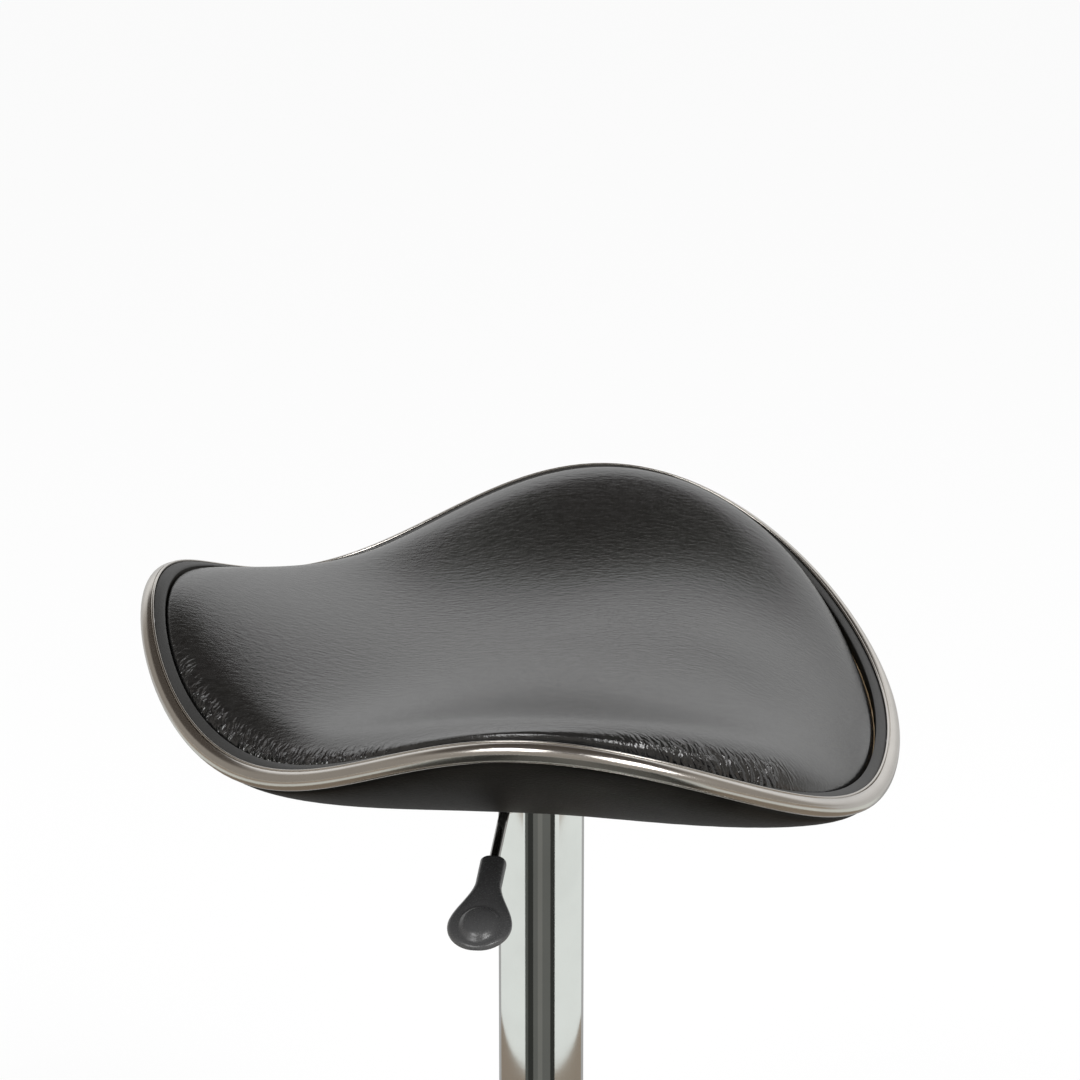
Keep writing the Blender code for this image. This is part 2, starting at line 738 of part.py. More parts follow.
def make_lever_rod(pivot):
    """Bent rod: a cross tongue over the valve pin, the arm, and the end inside the paddle."""
    inner = LEVER_REACH / math.cos(LEVER_DROOP)
    bend = ROD_BEND
    end = PADDLE_START + PADDLE_SOCKET - REST_FIT
    path = [Vector((TONGUE_LENGTH, inner, 0.0))]
    path += arc_points(Vector((bend, inner - bend, 0.0)), bend, 0.5 * math.pi, math.pi, BEND_STEPS)
    path += [Vector((0.0, 0.0, 0.0)), Vector((0.0, -end, 0.0))]
    return add_piece("lever_rod", swept_tube(path, ROD_RADIUS), "black_steel", pivot)


def make_lever_bush(pivot):
    """Plastic spool on the rod that rocks in the bracket's hole."""
    bore = ROD_RADIUS + REST_FIT
    rock = BRACKET_THICKNESS / 2.0 + 3.0 * BUSH_PLAY
    edge = rock + BUSH_FLANGE_THICKNESS
    profile = [(bore, -edge), (BUSH_FLANGE_RADIUS, -edge), (BUSH_FLANGE_RADIUS, -rock)]
    profile += [(BUSH_RADIUS, -rock), (BUSH_RADIUS, rock), (BUSH_FLANGE_RADIUS, rock)]
    profile += [(BUSH_FLANGE_RADIUS, edge), (bore, edge)]
    bush = add_piece("lever_bush", turned(profile, SMALL_SIDES, True), "acetal", pivot)
    bush.rotation_euler = (math.radians(90.0), 0.0, 0.0)
    return bush


def paddle_half_width(share):
    """Half width along the paddle: a straight neck, a smooth flare and a rounded end."""
    if share <= PADDLE_NECK_END:
        return PADDLE_NECK
    if share <= PADDLE_WIDEST:
        flare = (share - PADDLE_NECK_END) / (PADDLE_WIDEST - PADDLE_NECK_END)
        ease = flare * flare * (3.0 - 2.0 * flare)
        return PADDLE_NECK + (PADDLE_HALF_WIDTH - PADDLE_NECK) * ease
    past = (share - PADDLE_WIDEST) / (1.0 - PADDLE_WIDEST)
    return PADDLE_HALF_WIDTH * math.sqrt(max(0.0, 1.0 - past * past))


def thumb_pad(along, across):
    """Raised oval on the paddle's upper face."""
    centre = THUMB_PAD_PLACE * PADDLE_LENGTH
    oval = ((along - centre) / (THUMB_PAD_LENGTH / 2.0)) ** 2
    oval += (across / (THUMB_PAD_WIDTH / 2.0)) ** 2
    return THUMB_PAD_RISE * math.sqrt(max(0.0, 1.0 - oval))


def make_paddle(pivot):
    rings = [[(0.0, -PADDLE_START, 0.0)]]
    stations = [0.0, 0.02, 0.09, 0.18, 0.27, 0.36, 0.45, 0.53, 0.60, 0.67, 0.74, 0.81, 0.87, 0.93, 0.975]
    for share in stations:
        width = paddle_half_width(share)
        taper = min(1.0, share / PADDLE_TAPER_END)
        depth = PADDLE_NECK_DEPTH + (PADDLE_BLADE_DEPTH - PADDLE_NECK_DEPTH) * taper
        depth *= math.sqrt(max(PADDLE_TIP_SHARE, 1.0 - share**PADDLE_TIP_SHARPNESS))
        if share == 0.0:
            width *= PADDLE_MOUTH_SHARE
            depth *= PADDLE_MOUTH_SHARE
        ring = []
        for step in range(PADDLE_SIDES):
            angle = math.tau * step / PADDLE_SIDES
            across = width * math.copysign(abs(math.cos(angle)) ** PADDLE_SQUARENESS, math.cos(angle))
            height = depth * math.copysign(abs(math.sin(angle)) ** PADDLE_SQUARENESS, math.sin(angle))
            if height > 0.0:
                height += thumb_pad(share * PADDLE_LENGTH, across)
            ring.append((across, -PADDLE_START - share * PADDLE_LENGTH, height))
        rings.append(ring)
    rings.append([(0.0, -PADDLE_START - PADDLE_LENGTH, 0.0)])
    paddle = add_piece("lever_paddle", loft(rings), "handle", pivot)
    mouth = Vector((0.0, -PADDLE_START + PADDLE_SOCKET, 0.0))
    bottom = Vector((0.0, -PADDLE_START - PADDLE_SOCKET, 0.0))
    drill = swept_tube([mouth, bottom], ROD_RADIUS + REST_FIT)
    combine(paddle, add_piece("paddle_bore", drill, "handle", pivot))
    return paddle


# Gas lift. Levels from here on are heights above the floor.

RING_TOP = RING_THICKNESS
BALLAST_BOTTOM = RING_TOP + REST_FIT
HUB_BOTTOM = BALLAST_BOTTOM + BALLAST_THICKNESS + BALLAST_BOSS_RISE + REST_FIT
HUB_TOP = HUB_BOTTOM + HUB_FLANGE_THICKNESS
TUBE_BOTTOM = HUB_TOP + REST_FIT
LOWER_RACE = TUBE_BOTTOM + TUBE_FLOOR + REST_FIT
BALL_LEVEL = LOWER_RACE + RACE_THICKNESS + REST_FIT + BALL_RADIUS
UPPER_RACE = BALL_LEVEL + BALL_RADIUS + REST_FIT
ROD_SHOULDER = UPPER_RACE + RACE_THICKNESS + REST_FIT
BUFFER_BOTTOM = ROD_SHOULDER + ROD_SHOULDER_HEIGHT + REST_FIT
TUBE_TOP = RIM_HEIGHT - TUBE_TOP_DROP
PISTON_LEVEL = CYLINDER_BOTTOM + SEAL_LENGTH + LIFT_TRAVEL + PISTON_MARGIN
CYLINDER_BORE = CYLINDER_RADIUS - CYLINDER_WALL
CYLINDER_TOP = SOCKET_TOP - TAPER_SINK
TONGUE_LEVEL = LEVER_PIVOT_LEVEL + LEVER_REACH * math.tan(LEVER_DROOP)
PIN_TOP = TONGUE_LEVEL - ROD_RADIUS - PIN_GAP


def make_cylinder(carrier):
    """Gas cylinder with its taper at the top and a bore for the valve pin."""
    bottom = CYLINDER_BOTTOM - RIM_HEIGHT
    top = CYLINDER_TOP
    taper = SOCKET_TOP - SOCKET_LENGTH
    tip = CYLINDER_RADIUS - TAPER_DROP
    pin_bore = PIN_RADIUS + RUN_FIT
    plug = top - CROWN_PLUG
    profile = [(CYLINDER_BORE, bottom), (CYLINDER_RADIUS, bottom), (CYLINDER_RADIUS, taper)]
    profile += [(tip, top), (pin_bore, top), (pin_bore, plug), (CYLINDER_BORE, plug)]
    cylinder = turned(profile, INNER_SIDES, True)
    add_piece("pressure_tube", cylinder, "chrome", carrier)
    seal = tube_profile(
        PISTON_ROD_RADIUS + RUN_FIT, CYLINDER_BORE - REST_FIT, bottom, bottom + SEAL_LENGTH
    )
    add_piece("rod_seal", turned(seal, INNER_SIDES, True), "rubber", carrier)


def make_release_pin(carrier):
    bottom = CYLINDER_TOP - CROWN_PLUG + PIN_TRAVEL
    top = PIN_TOP
    chamfer = PIN_RADIUS / 4.0
    profile = [(0.0, bottom), (PIN_RADIUS, bottom), (PIN_RADIUS, top - chamfer)]
    profile += [(PIN_RADIUS - chamfer, top), (0.0, top)]
    return add_piece("release_pin", turned(profile, SMALL_SIDES), "bright_steel", carrier)


def make_piston(axis):
    clip_top = TUBE_BOTTOM - 3.0 * REST_FIT
    clip_bottom = clip_top - CLIP_THICKNESS
    groove = PISTON_ROD_RADIUS - CLIP_GROOVE
    tail = clip_bottom - CLIP_THICKNESS
    rod = [(0.0, tail), (PISTON_ROD_RADIUS, tail), (PISTON_ROD_RADIUS, clip_bottom - REST_FIT)]
    rod += [(groove, clip_bottom - REST_FIT), (groove, clip_top + REST_FIT)]
    rod += [(PISTON_ROD_RADIUS, clip_top + REST_FIT), (PISTON_ROD_RADIUS, ROD_SHOULDER)]
    shoulder_top = ROD_SHOULDER + ROD_SHOULDER_HEIGHT
    rod += [(ROD_SHOULDER_RADIUS, ROD_SHOULDER), (ROD_SHOULDER_RADIUS, shoulder_top)]
    rod += [(PISTON_ROD_RADIUS, shoulder_top), (PISTON_ROD_RADIUS, PISTON_LEVEL - REST_FIT)]
    spigot = PISTON_ROD_RADIUS * SPIGOT_SHARE
    crest = PISTON_LEVEL + PISTON_LENGTH
    rod += [(spigot, PISTON_LEVEL - REST_FIT), (spigot, crest), (0.0, crest)]
    add_piece("piston_rod", turned(rod, SMALL_SIDES), "bright_steel", axis)
    head = CYLINDER_BORE - RUN_FIT
    waist = PISTON_WAIST_SHARE * head
    third = PISTON_LENGTH / 3.0
    piston = [(spigot + REST_FIT, PISTON_LEVEL), (head, PISTON_LEVEL), (head, PISTON_LEVEL + third)]
    piston += [(waist, PISTON_LEVEL + third), (waist, crest - third), (head, crest - third)]
    piston += [(head, crest), (spigot + REST_FIT, crest)]
    add_piece("piston_head", turned(piston, INNER_SIDES, True), "acetal", axis)
    clip = tube_profile(groove + REST_FIT, CLIP_RADIUS, clip_bottom, clip_top)
    add_piece("retaining_clip", turned(clip, SMALL_SIDES, True), "bright_steel", axis)
    bore = PISTON_ROD_RADIUS + REST_FIT
    race = tube_profile(bore, RACE_RADIUS, UPPER_RACE, UPPER_RACE + RACE_THICKNESS)
    add_piece("bearing_race_upper", turned(race, INNER_SIDES, True), "bright_steel", axis)
    top = CYLINDER_BOTTOM - REST_FIT
    waist_level = (BUFFER_BOTTOM + top) / 2.0
    waist_radius = BUFFER_WAIST_SHARE * BUFFER_RADIUS
    buffer = [(bore, BUFFER_BOTTOM), (BUFFER_RADIUS, BUFFER_BOTTOM), (waist_radius, waist_level)]
    buffer += [(BUFFER_RADIUS, top), (bore, top)]
    add_piece("bump_stop", turned(buffer, INNER_SIDES, True), "rubber", axis)


def make_ball_cage(axis):
    """Ball ring of the swivel bearing, with its balls held in the cage."""
    low, high = BALL_LEVEL - CAGE_THICKNESS / 2.0, BALL_LEVEL + CAGE_THICKNESS / 2.0
    inner = PISTON_ROD_RADIUS + 2.0 * CAGE_THICKNESS
    outer = 2.0 * BALL_CIRCLE - inner
    ring = turned(tube_profile(inner, outer, low, high), INNER_SIDES, True)
    cage = add_piece("bearing_balls", ring, "bright_steel", axis)
    for index in range(BALL_COUNT):
        angle = math.tau * index / BALL_COUNT
        ball = bmesh.new()
        bmesh.ops.create_uvsphere(ball, u_segments=6, v_segments=4, radius=BALL_RADIUS)
        bead = add_piece(f"ball_{index}", ball, "bright_steel", axis)
        place(bead, BALL_CIRCLE * math.cos(angle), BALL_CIRCLE * math.sin(angle), BALL_LEVEL)
        combine(cage, bead, "UNION")


def make_column():
    bore = TUBE_RADIUS - TUBE_WALL
    profile = [(FLOOR_HOLE_RADIUS, TUBE_BOTTOM), (TUBE_RADIUS, TUBE_BOTTOM), (TUBE_RADIUS, TUBE_TOP)]
    profile += [(bore, TUBE_TOP), (bore, TUBE_BOTTOM + TUBE_FLOOR)]
    profile.append((FLOOR_HOLE_RADIUS, TUBE_BOTTOM + TUBE_FLOOR))
    add_piece("stand_tube", turned(profile, closed=True), "chrome")
    top = TUBE_TOP - BUSHING_RECESS
    bottom = top - BUSHING_LENGTH
    guide = tube_profile(CYLINDER_RADIUS + RUN_FIT, bore - REST_FIT, bottom, top)
    add_piece("guide_bush", turned(guide, INNER_SIDES, True), "acetal")
    race = tube_profile(FLOOR_HOLE_RADIUS, RACE_RADIUS, LOWER_RACE, LOWER_RACE + RACE_THICKNESS)
    add_piece("bearing_race_lower", turned(race, INNER_SIDES, True), "bright_steel")


# Base


def trumpet(radius):
    """Height of the base cover's outer face at a radius, and its slope there."""
    flare = math.exp((BASE_NECK_RADIUS - radius) / TRUMPET_REACH)
    spread = radius / BASE_RADIUS
    height = BASE_EDGE_HEIGHT + BASE_DOME_RISE * (1.0 - spread**2)
    slope = -2.0 * BASE_DOME_RISE * radius / BASE_RADIUS**2
    neck_dome = BASE_DOME_RISE * (1.0 - (BASE_NECK_RADIUS / BASE_RADIUS) ** 2)
    rest = BASE_NECK_HEIGHT - BASE_EDGE_HEIGHT - neck_dome
    return height + rest * flare, slope - rest * flare / TRUMPET_REACH


def make_base_cover():
    """Spun trumpet cover with an even wall and a short upright rim."""
    foot = BALLAST_BOTTOM
    outer = [(BASE_RADIUS, foot)]
    inner = [(BASE_RADIUS - COVER_WALL, foot)]
    for step in range(COVER_STEPS + 1):
        ease = (1.0 - step / COVER_STEPS) ** COVER_CROWDING
        radius = BASE_NECK_RADIUS + (BASE_RADIUS - COVER_WALL - BASE_NECK_RADIUS) * ease
        height, slope = trumpet(radius)
        lean = math.hypot(slope, 1.0)
        if step == 0:
            outer.append((BASE_RADIUS, height - COVER_WALL))
            inner.append((BASE_RADIUS - COVER_WALL, height - COVER_WALL - COVER_CORNER))
            outer.append((radius, height))
            continue
        outer.append((radius, height))
        inner.append((radius + COVER_WALL * slope / lean, height - COVER_WALL / lean))
    neck_inner = BASE_NECK_RADIUS - COVER_WALL
    inner[-1] = (neck_inner, BASE_NECK_HEIGHT)
    profile = outer + list(reversed(inner))
    add_piece("base_cover", turned(profile, BASE_SIDES, True), "chrome")


def make_foot_ring():
    """Rubber ring under the base: a pad with a lip between the ballast and the cover's rim."""
    outer = BASE_RADIUS + RING_OVERHANG
    inner = BASE_RADIUS - RING_WIDTH
    lip_outer = BASE_RADIUS - COVER_WALL - REST_FIT
    lip_inner = lip_outer - RING_LIP_WIDTH
    lip_top = RING_TOP + RING_LIP_HEIGHT
    profile = [(inner, 0.0), (outer, 0.0), (outer, RING_TOP), (lip_outer, RING_TOP)]
    profile += [(lip_outer, lip_top), (lip_inner, lip_top), (lip_inner, RING_TOP), (inner, RING_TOP)]
    add_piece("base_foot_ring", turned(profile, BASE_SIDES, True), "rubber")


def hub_bolt_places():
    places = []
    for index in range(4):
        angle = math.tau * (index + 0.5) / 4.0
        places.append((HUB_BOLT_CIRCLE * math.cos(angle), HUB_BOLT_CIRCLE * math.sin(angle)))
    return places


def make_ballast_and_hub():
    edge = BASE_RADIUS - COVER_WALL - REST_FIT - RING_LIP_WIDTH - REST_FIT
    top = BALLAST_BOTTOM + BALLAST_THICKNESS
    boss_top = top + BALLAST_BOSS_RISE
    profile = [(HUB_BORE_RADIUS, BALLAST_BOTTOM), (edge, BALLAST_BOTTOM), (edge, top)]
    profile += [(BALLAST_BOSS_RADIUS, top), (BALLAST_BOSS_RADIUS, boss_top), (HUB_BORE_RADIUS, boss_top)]
    ballast = add_piece("base_ballast", turned(profile, BASE_SIDES, True), "iron")
    bore = TUBE_RADIUS + REST_FIT
    wall = bore + HUB_SOCKET_WALL
    socket_top = HUB_TOP + HUB_SOCKET_HEIGHT
    hub_profile = [(HUB_BORE_RADIUS, HUB_BOTTOM), (HUB_FLANGE_RADIUS, HUB_BOTTOM)]
    hub_profile += [(HUB_FLANGE_RADIUS, HUB_TOP), (wall, HUB_TOP), (wall, socket_top)]
    hub_profile += [(bore, socket_top), (bore, HUB_TOP), (HUB_BORE_RADIUS, HUB_TOP)]
    hub = add_piece("base_hub", turned(hub_profile, closed=True), "black_steel")
    head_seat = BALLAST_BOTTOM + HUB_BOLT_HEAD_HEIGHT + 2.0 * REST_FIT
    shank_hole = HUB_BOLT_RADIUS + BOLT_FIT
    head_hole = HUB_BOLT_HEAD_RADIUS + BOLT_FIT
    for index, (x, y) in enumerate(hub_bolt_places(), 1):
        below = BALLAST_BOTTOM - BALLAST_THICKNESS
        above = HUB_TOP + BALLAST_THICKNESS
        steps = [(0.0, below), (head_hole, below), (head_hole, head_seat), (shank_hole, head_seat)]
        steps += [(shank_hole, above), (0.0, above)]
        drill = add_piece(f"hub_drill_{index}", turned(steps, SMALL_SIDES), "iron")
        combine(ballast, place(drill, x, y))
        combine(hub, drill)
        head_top = head_seat - REST_FIT
        bolt = [(0.0, BALLAST_BOTTOM), (HUB_BOLT_HEAD_RADIUS, BALLAST_BOTTOM)]
        bolt += [(HUB_BOLT_HEAD_RADIUS, head_top), (HUB_BOLT_RADIUS, head_top)]
        bolt += [(HUB_BOLT_RADIUS, HUB_TOP), (0.0, HUB_TOP)]
        screw = add_piece(f"hub_bolt_{index}", turned(bolt, SMALL_SIDES), "bright_steel")
        place(screw, x, y)


def make_neck_ring():
    """Chrome ring that closes the joint between the trumpet and the column."""
    bottom = BASE_NECK_HEIGHT + REST_FIT
    top = bottom + NECK_RING_HEIGHT
    bore = TUBE_RADIUS + REST_FIT
    chamfer = NECK_RING_HEIGHT / 4.0
    profile = [(bore, bottom), (NECK_RING_RADIUS - chamfer, bottom), (NECK_RING_RADIUS, bottom + chamfer)]
    profile += [(NECK_RING_RADIUS, top - chamfer), (NECK_RING_RADIUS - chamfer, top), (bore, top)]
    add_piece("base_neck_ring", turned(profile, closed=True), "chrome")


# Footrest


def make_footrest():
    """D-shaped loop of tube whose ends meet a collar on the column."""
    height = FOOTREST_HEIGHT
    wide, corner = FOOTREST_HALF_WIDTH, FOOTREST_CORNER
    start = COLLAR_RADIUS + REST_FIT
    half = [Vector((0.0, start, height))]
    half += arc_points(Vector((corner, wide - corner, height)), corner, math.pi, 0.5 * math.pi, BEND_STEPS)
    front = arc_points(Vector((corner, 0.0, height)), wide, 0.5 * math.pi, 0.0, FOOTREST_STEPS)
    half += front[1:]
    mirrored = [Vector((point.x, -point.y, point.z)) for point in reversed(half[:-1])]
    loop = swept_tube(half + mirrored, FOOTREST_TUBE_RADIUS)
    add_piece("footrest_loop", loop, "chrome")
    low, high = height - COLLAR_HEIGHT / 2.0, height + COLLAR_HEIGHT / 2.0
    bore = TUBE_RADIUS + REST_FIT
    chamfer = COLLAR_HEIGHT / 20.0
    profile = [(bore, low), (COLLAR_RADIUS - chamfer, low), (COLLAR_RADIUS, low + chamfer)]
    profile += [(COLLAR_RADIUS, high - chamfer), (COLLAR_RADIUS - chamfer, high), (bore, high)]
    collar = add_piece("footrest_collar", turned(profile, closed=True), "chrome")
    for index, side in enumerate((-0.5, 0.5), 1):
        level = height + side * COLLAR_SCREW_SPACING
        path = [Vector((-COLLAR_RADIUS * 2.0, 0.0, level)), Vector((0.0, 0.0, level))]
        drill = swept_tube(path, COLLAR_SCREW_RADIUS + REST_FIT)
        combine(collar, add_piece(f"collar_drill_{index}", drill, "chrome"))
        seat = COLLAR_RADIUS + REST_FIT
        head = seat + COLLAR_SCREW_HEAD_LENGTH
        screw = [(0.0, bore), (COLLAR_SCREW_RADIUS, bore), (COLLAR_SCREW_RADIUS, seat)]
        screw += [(COLLAR_SCREW_HEAD_RADIUS, seat), (COLLAR_SCREW_HEAD_RADIUS, head), (0.0, head)]
        bolt = add_piece(f"collar_screw_{index}", turned(screw, SMALL_SIDES), "black_steel")
        bolt.rotation_euler = (0.0, math.radians(-90.0), 0.0)
        place(bolt, 0.0, 0.0, level)


def build_stool():
    clear_scene()
    make_base_cover()
    make_foot_ring()
    make_ballast_and_hub()
    make_neck_ring()
    make_column()
    make_footrest()
    swivel = add_axis("swivel_axis", (0.0, 0.0, 0.0))
    make_piston(swivel)
    make_ball_cage(swivel)
    carrier = add_axis("seat_height_axis", (0.0, 0.0, RIM_HEIGHT))
    make_cylinder(carrier)
    make_release_pin(carrier)
    make_cushion(carrier)
    make_board(carrier)
    make_shell(carrier)
    make_trim(carrier)
    make_plate(carrier)
    make_socket(carrier)
    make_plate_fasteners(carrier)
    make_lever_bracket(carrier)
    lever_place = LEVER_PIVOT + Vector((0.0, 0.0, RIM_HEIGHT))
    pivot = add_axis("lever_pivot", lever_place, (LEVER_DROOP, 0.0, -LEVER_YAW))
    make_lever_rod(pivot)
    make_lever_bush(pivot)
    make_paddle(pivot)


build_stool()
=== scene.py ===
# %% [markdown]
# # A saddle bar stool, dressed for its portrait
# The stool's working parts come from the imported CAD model, which is the fixed frame here. This
# lesson adds what the eye wants: a stuffed leatherette saddle, a polished bead round it, a grained
# moulded shell, a chromed column and a lever, and the light they are seen in. Every length is in
# metres, the column stands on the Z axis and the sitter faces +X.

# %% Load the frame
import json
import math

import bmesh
import bpy
import numpy as np
from mathutils import Matrix, Vector


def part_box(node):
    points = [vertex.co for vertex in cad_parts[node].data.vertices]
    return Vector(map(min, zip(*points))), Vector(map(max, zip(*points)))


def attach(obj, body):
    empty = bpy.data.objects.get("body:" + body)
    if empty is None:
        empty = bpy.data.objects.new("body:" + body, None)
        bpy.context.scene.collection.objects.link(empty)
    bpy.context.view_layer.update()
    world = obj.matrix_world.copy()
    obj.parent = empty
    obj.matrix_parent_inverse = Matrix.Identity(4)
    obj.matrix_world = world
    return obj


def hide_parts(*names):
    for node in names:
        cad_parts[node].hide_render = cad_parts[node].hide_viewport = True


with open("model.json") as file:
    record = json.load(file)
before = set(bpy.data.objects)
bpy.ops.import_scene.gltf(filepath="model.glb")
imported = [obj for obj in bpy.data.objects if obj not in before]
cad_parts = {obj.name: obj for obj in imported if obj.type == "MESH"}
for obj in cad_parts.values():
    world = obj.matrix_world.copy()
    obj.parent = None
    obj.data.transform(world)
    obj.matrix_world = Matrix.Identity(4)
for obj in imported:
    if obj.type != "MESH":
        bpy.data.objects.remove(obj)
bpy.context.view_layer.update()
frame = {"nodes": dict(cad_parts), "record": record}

# %% [markdown]
# ## The seat's own geometry
# One set of waves draws the whole saddle: round the outline as a change of radius, and along the
# rim as a change of height. The cushion, band, bead and shell all read these, so they stay in step.
# A hand-drawn curve would do for one piece, but five pieces that must nest call for a formula.

# %% Seat outline and saddle surface
RIM_HEIGHT = 0.600
SEAT_RADIUS = 0.2205
PLAN_WAVES = {2: -0.0081, 3: -0.0097, 4: -0.0022, 5: 0.0015}
RIM_WAVES = {1: -0.0238, 2: -0.0194, 3: -0.0178, 4: 0.0143}
SEAT_CENTRE = np.array([-0.0026, 0.0])
SEAT_ANGLES = np.linspace(0.0, math.tau, 200, endpoint=False)
TANGENT_STEP = 0.001


def outline_radius(angle):
    return SEAT_RADIUS + sum(size * np.cos(order * angle) for order, size in PLAN_WAVES.items())


def outline(angle):
    radius = outline_radius(angle)
    return SEAT_CENTRE + np.stack([radius * np.cos(angle), radius * np.sin(angle)], axis=-1)


def inset_outline(angle, inset):
    """The outline moved square to itself, inwards where inset is positive."""
    tangent = outline(angle + TANGENT_STEP) - outline(angle - TANGENT_STEP)
    tangent /= np.linalg.norm(tangent, axis=-1, keepdims=True)
    return outline(angle) + inset * np.stack([-tangent[..., 1], tangent[..., 0]], axis=-1)


def polar(points):
    """Angle round the seat, and the share of the way from its centre to its outline."""
    offset = points - SEAT_CENTRE
    angle = np.arctan2(offset[..., 1], offset[..., 0])
    return angle, np.linalg.norm(offset, axis=-1) / outline_radius(angle)


def saddle_level(points):
    angle, share = polar(points)
    waves = [size * share**order * np.cos(order * angle) for order, size in RIM_WAVES.items()]
    return RIM_HEIGHT + sum(waves)


rim_heights = saddle_level(outline(SEAT_ANGLES))
print("rim runs from", round(rim_heights.min(), 4), "to", round(rim_heights.max(), 4))

# %% [markdown]
# ## Two ways to skin a shape
# Nearly everything on a stool is either turned on a lathe or swept along a line. Both are a run of
# rings joined by faces, so one small loft serves for all. Blender's Screw modifier could turn the
# round pieces too, but a loft also follows the saddle's rim, which no lathe can.

# %% Loft, turn and sweep
SMOOTH_ANGLE = math.radians(38.0)
CORNER_LIMIT = 0.45


def loft(name, rings, closed=False):
    """Skin a run of rings. A ring of one point is a pole, and a closed run joins its ends."""
    builder = bmesh.new()
    loops = [[builder.verts.new(point) for point in ring] for ring in rings]
    spans = list(zip(loops, loops[1:]))
    if closed:
        spans.append((loops[-1], loops[0]))
    for first, second in spans:
        count = max(len(first), len(second))
        for index in range(count):
            after = (index + 1) % count
            corners = [first[index % len(first)], first[after % len(first)]]
            corners += [second[after % len(second)], second[index % len(second)]]
            builder.faces.new(list(dict.fromkeys(corners)))
    bmesh.ops.recalc_face_normals(builder, faces=builder.faces)
    mesh = bpy.data.meshes.new(name)
    builder.to_mesh(mesh)
    builder.free()
    mesh.shade_smooth()
    mesh.set_sharp_from_angle(angle=SMOOTH_ANGLE)
    piece = bpy.data.objects.new(name, mesh)
    bpy.context.scene.collection.objects.link(piece)
    return piece


def round_angles(sides):
    return [math.tau * index / sides for index in range(sides)]


def turn(name, profile, sides):
    """A ring turned about Z from the (radius, height) points of its section."""
    spokes = [(math.cos(angle), math.sin(angle)) for angle in round_angles(sides)]
    rings = [[(radius * x, radius * y, height) for x, y in spokes] for radius, height in profile]
    return loft(name, rings, closed=True)


def sweep(name, path, radius, sides):
    """A round bar along a path that never runs straight up."""
    rings = [[path[0]]]
    for index, point in enumerate(path):
        along = (path[min(index + 1, len(path) - 1)] - path[max(index - 1, 0)]).normalized()
        across = along.cross(Vector((0.0, 0.0, 1.0))).normalized()
        up = across.cross(along)
        spokes = [math.cos(angle) * across + math.sin(angle) * up for angle in round_angles(sides)]
        rings.append([point + radius * spoke for spoke in spokes])
    rings.append([path[-1]])
    return loft(name, rings)


def rounded(profile, radius, steps=4):
    """Round the corners of a closed (radius, height) profile, as a tool's nose radius does."""
    points = [Vector(point) for point in profile]
    result = []
    for index, corner in enumerate(points):
        before = points[index - 1] - corner
        after = points[(index + 1) % len(points)] - corner
        cut = min(radius, CORNER_LIMIT * before.length, CORNER_LIMIT * after.length)
        start = corner + cut * before.normalized()
        end = corner + cut * after.normalized()
        for step in range(steps + 1):
            t = step / steps
            result.append(tuple((1 - t) ** 2 * start + 2 * t * (1 - t) * corner + t**2 * end))
    return result


def dress(piece, body, slot, finish, *nodes):
    """A new piece rides on its body, takes its finish and stands for its CAD nodes."""
    piece.data.materials.clear()
    piece.data.materials.append(finish)
    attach(piece, body)
    if nodes:
        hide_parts(*nodes)
    print(piece.name, "has", len(piece.data.polygons), "faces and rides on", body)
    return piece


# %% [markdown]
# ## Shader sums as plain Python
# A material is a sum: some grain, less some wear, times a mask. Wiring Math nodes by hand hides
# that, so a small class wraps a socket and lets + - * / and abs add the Math nodes. Everything else
# comes from one method that names a node's type, its settings and its sockets.


# %% Wires and finishes
class Wire:
    """One output socket that takes part in sums."""

    def __init__(self, finish, socket):
        self.finish = finish
        self.socket = socket

    def sum_with(self, operation, first, second):
        return self.finish.node("ShaderNodeMath", {"operation": operation}, {0: first, 1: second})

    def __add__(self, other):
        return self.sum_with("ADD", self, other)

    def __radd__(self, other):
        return self.sum_with("ADD", other, self)

    def __sub__(self, other):
        return self.sum_with("SUBTRACT", self, other)

    def __rsub__(self, other):
        return self.sum_with("SUBTRACT", other, self)

    def __mul__(self, other):
        return self.sum_with("MULTIPLY", self, other)

    def __rmul__(self, other):
        return self.sum_with("MULTIPLY", other, self)

    def __truediv__(self, other):
        return self.sum_with("DIVIDE", self, other)

    def __rtruediv__(self, other):
        return self.sum_with("DIVIDE", other, self)

    def __abs__(self):
        return self.sum_with("ABSOLUTE", self, 0.0)

    def sibling(self, name):
        """Another output of the same node."""
        return Wire(self.finish, self.socket.node.outputs[name])


